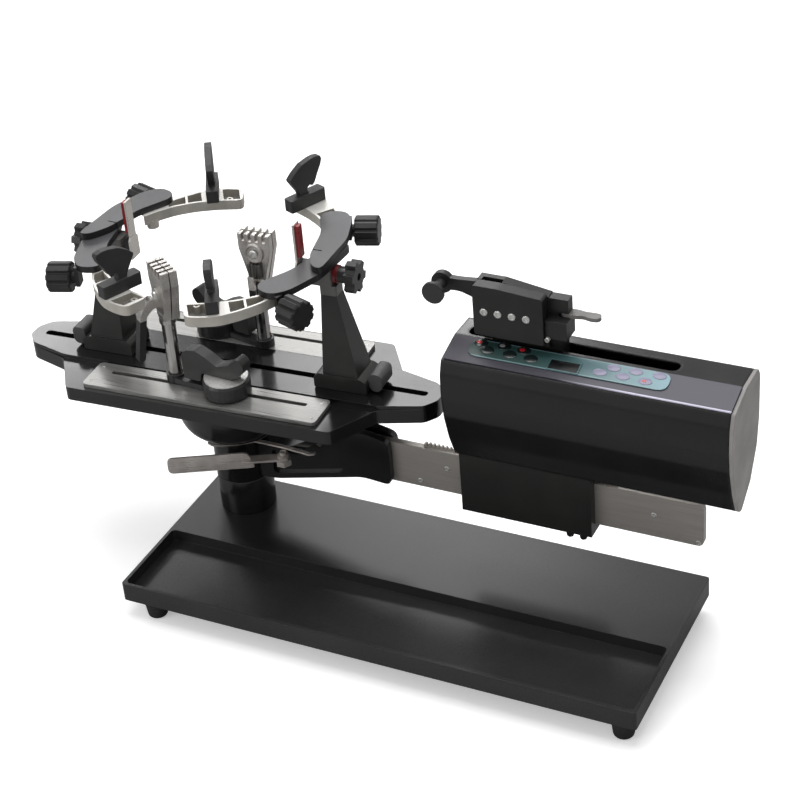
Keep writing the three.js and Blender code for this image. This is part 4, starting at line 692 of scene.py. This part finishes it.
# Trolley: a cast carriage that hangs on the rack bar and carries the tension head.
# Two lock bolts come out of its underside. The gripper's castings have the same paint.
# Casting paint: satin black over as-cast metal, whose grain shows through.
casting_paint, tree = material("satin_black_casting_paint")
grain, film = patches(tree, size=0.769, detail=4), patches(tree, size=50, detail=5)
shade(tree, add(tree, "ValToRGB", {"Fac": film}, stops=((0.3, "#131312"), (0.7, "#1d1d1b"))), grain,
      rough=(0.3, 0.46), strength=0.2, depth=0.1)
dress(casting_paint, "trolley", "gripper_carriage", "gripper_jaw")
trolley_bottom = 1000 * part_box("trolley")[0].z
bolt_row, bolt_places, bolt_radius, bolt_height = -9.5, (417.5, 433), 4.5, 8
bm = bmesh.new()
for x in bolt_places:
    screw(bm, x, bolt_row, trolley_bottom, bolt_radius, bolt_height, "-Z")
piece("trolley_lock_bolts", bm, base, phenolic, "tension_head")

# Tension head: a rolled steel shell, enamelled above, that a moulded plastic cap closes at its right end.
# The fascia on its sloping front edge is plastic too, with a lilac strip along its lower edge, painted pale
# on its right part as a painted reflection.
# Moulded plastic cap: light warm grey with a fine matte texture.
end_plastic, tree = material("moulded_grey_end_cap")
grain, cloud = patches(tree, size=0.556, detail=3), patches(tree, size=40, detail=4)
shade(tree, add(tree, "ValToRGB", {"Fac": cloud}, stops=((0.3, "#7d7a78"), (0.7, "#918e8c"))), grain,
      rough=(0.42, 0.58), strength=0.2, depth=0.1)
dress(end_plastic, "housing_end")

fascia_front, fascia_low, fascia_tilt = -36.98, 323.13, math.radians(14.931)
fascia_frame = (base @ Matrix.Translation((0, fascia_front, fascia_low))
                @ Matrix.Rotation(fascia_tilt, 4, "X"))


def along_slope(tree):
    """How far up the fascia a point lies from its lower edge, and how far along X, in metres."""
    place = add(tree, "VectorMath", {0: add(tree, "TexCoord", give="Object"),
                                     1: fascia_frame.to_translation()}, operation="SUBTRACT")
    slope = (0, math.cos(fascia_tilt), math.sin(fascia_tilt))
    rise = add(tree, "VectorMath", {0: place, 1: slope}, give="Value", operation="DOT_PRODUCT")
    return rise, add(tree, "SeparateXYZ", {"Vector": place}, give="X")


# Moulded fascia: dark violet-grey, a little lighter toward its right end, with a lilac strip along its
# lower edge whose paleness on the right part is a painted reflection.
lightens_from, lightens_to = 0.3, 0.6
strip_top, strip_top_soft, strip_from, strip_to = 0.0022, 0.0004, 0.42, 0.5
fascia, tree = material("violet_grey_fascia_painted_highlight")
rise, across = along_slope(tree)
grain, cloud = patches(tree, size=0.526, detail=3), patches(tree, size=50, detail=4)
body = add(tree, "ValToRGB", {"Fac": cloud}, stops=((0.3, "#2a2732"), (0.7, "#312e3a")))
lighter = add(tree, "MapRange", {"Value": across, "From Min": lightens_from, "From Max": lightens_to})
body = add(tree, "MixRGB", {"Fac": lighter, "Color1": body, "Color2": "#363340"})
low_edge = add(tree, "MapRange", {
    "Value": rise, "From Min": strip_top - strip_top_soft, "From Max": strip_top + strip_top_soft,
    "To Min": 1, "To Max": 0})
right_part = add(tree, "MapRange", {"Value": across, "From Min": strip_from, "From Max": strip_to})
# Painted reflection: the strip along the lower edge is painted near white over its right part.
strip_and_highlight = where_all(tree, low_edge, right_part)
shade(tree, add(tree, "MixRGB", {"Fac": strip_and_highlight, "Color1": body, "Color2": "#d6d3e6"}), grain,
      rough=(0.38, 0.5), strength=0.12, depth=0.1)
dress(fascia, "panel")

# Keypad: a printed polyester film glued to the fascia, with embossed oval keys.
# Small lenses and a window show the lamps and the display behind the film.
# Printed film: dark teal at its left end and pale cyan at its right, with its low and high edges painted
# lighter as a painted highlight.
film_left, film_right, rim_soft = 0.312, 0.534, 0.0003
rim_low, rim_high = 0.0123, 0.0339
film_print, tree = material("printed_teal_keypad_film_painted_highlight")
rise, across = along_slope(tree)
fine = patches(tree, size=0.417, detail=2)
share = add(tree, "MapRange", {"Value": across, "From Min": film_left, "From Max": film_right})
field = add(tree, "ValToRGB", {"Fac": share},
            stops=((0, "#213836"), (0.35, "#304c4a"), (0.7, "#4a6b71"), (1, "#6b8f99")))
low_edge_highlight = add(tree, "MapRange", {
    "Value": rise, "From Min": rim_low - rim_soft, "From Max": rim_low + rim_soft,
    "To Min": 1, "To Max": 0})
high_edge_highlight = add(tree, "MapRange", {
    "Value": rise, "From Min": rim_high - rim_soft, "From Max": rim_high + rim_soft})
# Painted highlight: the film's low and high edges take the lighter rim colour.
rim = add(tree, "Math", {0: low_edge_highlight, 1: high_edge_highlight}, operation="MAXIMUM")
shade(tree, add(tree, "MixRGB", {"Fac": rim, "Color1": field, "Color2": "#6d8d90"}), fine,
      rough=(0.26, 0.36), depth=0.1)
dress(film_print, "keypad")

# Key prints: near-black and half-gloss on the left, and matte lilac on the right.
key_print, tree = material("printed_key_dark")
fine = patches(tree, size=0.417, detail=2)
shade(tree, add(tree, "ValToRGB", {"Fac": fine}, stops=((0.3, "#121a1a"), (0.7, "#1b2524"))), fine,
      rough=(0.16, 0.26), depth=0.1, edge=0.3)
lilac_print, tree = material("printed_key_lilac")
fine = patches(tree, size=0.417, detail=2)
shade(tree, add(tree, "ValToRGB", {"Fac": fine}, stops=((0.3, "#6e6c83"), (0.7, "#86839b"))), fine,
      rough=(0.28, 0.4), depth=0.1, edge=0.3)
# Lamp lenses: clear red plastic with a wet gloss. One lamp is a silver print instead.
lens, tree = material("red_lamp_lens")
swirl = patches(tree, size=0.667, detail=2)
shade(tree, add(tree, "ValToRGB", {"Fac": swirl}, stops=((0.3, "#b3141c"), (0.7, "#d8303a"))), swirl,
      rough=(0.1, 0.2), strength=0.05, edge=0.2, Coat_Weight=0.5)
silver_print, tree = material("silver_key_print")
fine = patches(tree, size=0.417, detail=2)
shade(tree, add(tree, "ValToRGB", {"Fac": fine}, stops=((0.3, "#b4b6b8"), (0.7, "#cfd1d2"))), fine,
      rough=(0.25, 0.38), edge=0.2, Metallic=0.6)
# Display window: smoked glass, nearly black, with a faint smear.
glass, tree = material("dark_display_glass")
smear = patches(tree, size=8.33, detail=4)
shade(tree, add(tree, "ValToRGB", {"Fac": smear}, stops=((0.3, "#0a0b0c"), (0.7, "#131416"))), smear,
      rough=(0.3, 0.4), strength=0.03, edge=0.2, Specular_IOR_Level=0.2)

# Keys and lamps are placed along and up the fascia, each pair in two rows.
film_top, key_sunk, key_rise, key_edge = 3.4, 0.4, 0.45, 0.35
lamp_sunk, lamp_proud = 0.2, 0.4
lamp_low, lamp_top = film_top - lamp_sunk, film_top + key_rise + lamp_proud
dark_key, lilac_key, big_lamp, small_lamp = (15.5, 11), (15, 9.4), (6.5, 4.4), (4.4, 3)
big_lamp_left, big_lamp_up, small_lamp_left = 2, 0.5, 1
silver_lamp_pair, lamp_pair = 1, 2
left_keys = [((323, 30), (333, 22)), ((349, 31), (359, 21.5)), ((372, 30), (383, 21))]
right_keys = [((460, 20), (472, 29)), ((485, 20), (496, 29.5)), ((509.5, 19), (521.5, 29.7))]
keys_dark, keys_lilac, lamps_red, lamp_silver = (bmesh.new() for _ in range(4))
for number, (upper, lower) in enumerate(left_keys):
    for x, t in (upper, lower):
        prism(keys_dark, oval(*dark_key, x, t), film_top - key_sunk, film_top + key_rise, key_edge)
    prism(lamp_silver if number == silver_lamp_pair else lamps_red,
          oval(*big_lamp, upper[0] - big_lamp_left, upper[1] + big_lamp_up), lamp_low, lamp_top, key_edge)
for number, (lower, upper) in enumerate(right_keys):
    for x, t in (lower, upper):
        prism(keys_lilac, oval(*lilac_key, x, t), film_top - key_sunk, film_top + key_rise, key_edge)
    if number == lamp_pair:
        prism(lamps_red, oval(*small_lamp, lower[0] - small_lamp_left, lower[1]), lamp_low, lamp_top,
              key_edge)
piece("keys_dark", keys_dark, fascia_frame, key_print, "tension_head")
piece("keys_lilac", keys_lilac, fascia_frame, lilac_print, "tension_head")
piece("key_lamps_red", lamps_red, fascia_frame, lens, "tension_head")
piece("key_lamp_silver", lamp_silver, fascia_frame, silver_print, "tension_head")
window_left, window_right, window_low, window_high = 405.3, 436.7, 12.3, 24.7
window_sunk, window_rise, window_edge = 0.2, 0.7, 0.3
bm = bmesh.new()
prism(bm, [(window_left, window_low), (window_right, window_low), (window_right, window_high),
           (window_left, window_high)], film_top - window_sunk, film_top + window_rise, window_edge)
piece("display_window", bm, fascia_frame, glass, "tension_head")

# Gripper: a cast carriage in the head's slot, with a sliding jaw, its lever and a guide roller.
# Four socket screws hold the jaw, one holds the step beside it, and three small pins the stem.
# Lever lacquer: mid grey, smooth and slightly cloudy.
lever_paint, tree = material("grey_lever_lacquer")
grain, cloud = patches(tree, size=0.769, detail=4), patches(tree, size=16.7, detail=4)
shade(tree, add(tree, "ValToRGB", {"Fac": cloud}, stops=((0.3, "#62615f"), (0.7, "#787674"))), grain,
      rough=(0.3, 0.44), strength=0.12, depth=0.1)
dress(lever_paint, "gripper_lever")
# Turned acetal: waxy black with fine marks from the lathe.
acetal, tree = material("black_acetal_roller")
turning = patches(tree, size=0.625, detail=2, stretch=(1, 0.1, 1))
shade(tree, add(tree, "ValToRGB", {"Fac": turning}, stops=((0.3, "#1f1f1f"), (0.7, "#303030"))), turning,
      rough=(0.28, 0.42), strength=0.12, depth=0.1)
dress(acetal, "guide_roller")
jaw_front, jaw_screws, jaw_screw_row = -14, (330.5, 346.3, 362.1, 378), 376.5
step_front, step_screw, step_screw_row = -10, 400, 355
stem_front, stem_pins, stem_pin_row = 1, (344.6, 359.4, 367.4), 340.5
bm = bmesh.new()
for x in jaw_screws:
    screw(bm, x, jaw_front, jaw_screw_row, radius=4.4, height=1.6, toward="-Y")
piece("gripper_jaw_screws", bm, base, zinc, "gripper_jaw_body")
bm = bmesh.new()
screw(bm, step_screw, step_front, step_screw_row, radius=3, height=3.6, toward="-Y")
for x in stem_pins:
    screw(bm, x, stem_front, stem_pin_row, radius=1.4, height=0.8, toward="-Y", socket=False)
piece("gripper_carriage_screws", bm, base, zinc, "carriage")

# Power inlet and switch: black plastic parts on the rear lower face, snapped into holes of the shell.
# The inlet's pins stand in its well, and the switch rocks on its own pivots.
# Moulded polyamide: black with a fine spark texture and a low sheen.
moulded, tree = material("black_moulded_polyamide")
spark = patches(tree, size=0.455, detail=3)
shade(tree, add(tree, "ValToRGB", {"Fac": spark}, stops=((0.3, "#151516"), (0.7, "#202021"))), spark,
      rough=(0.36, 0.5), strength=0.2, depth=0.1)
dress(moulded, "power_inlet", "power_switch")
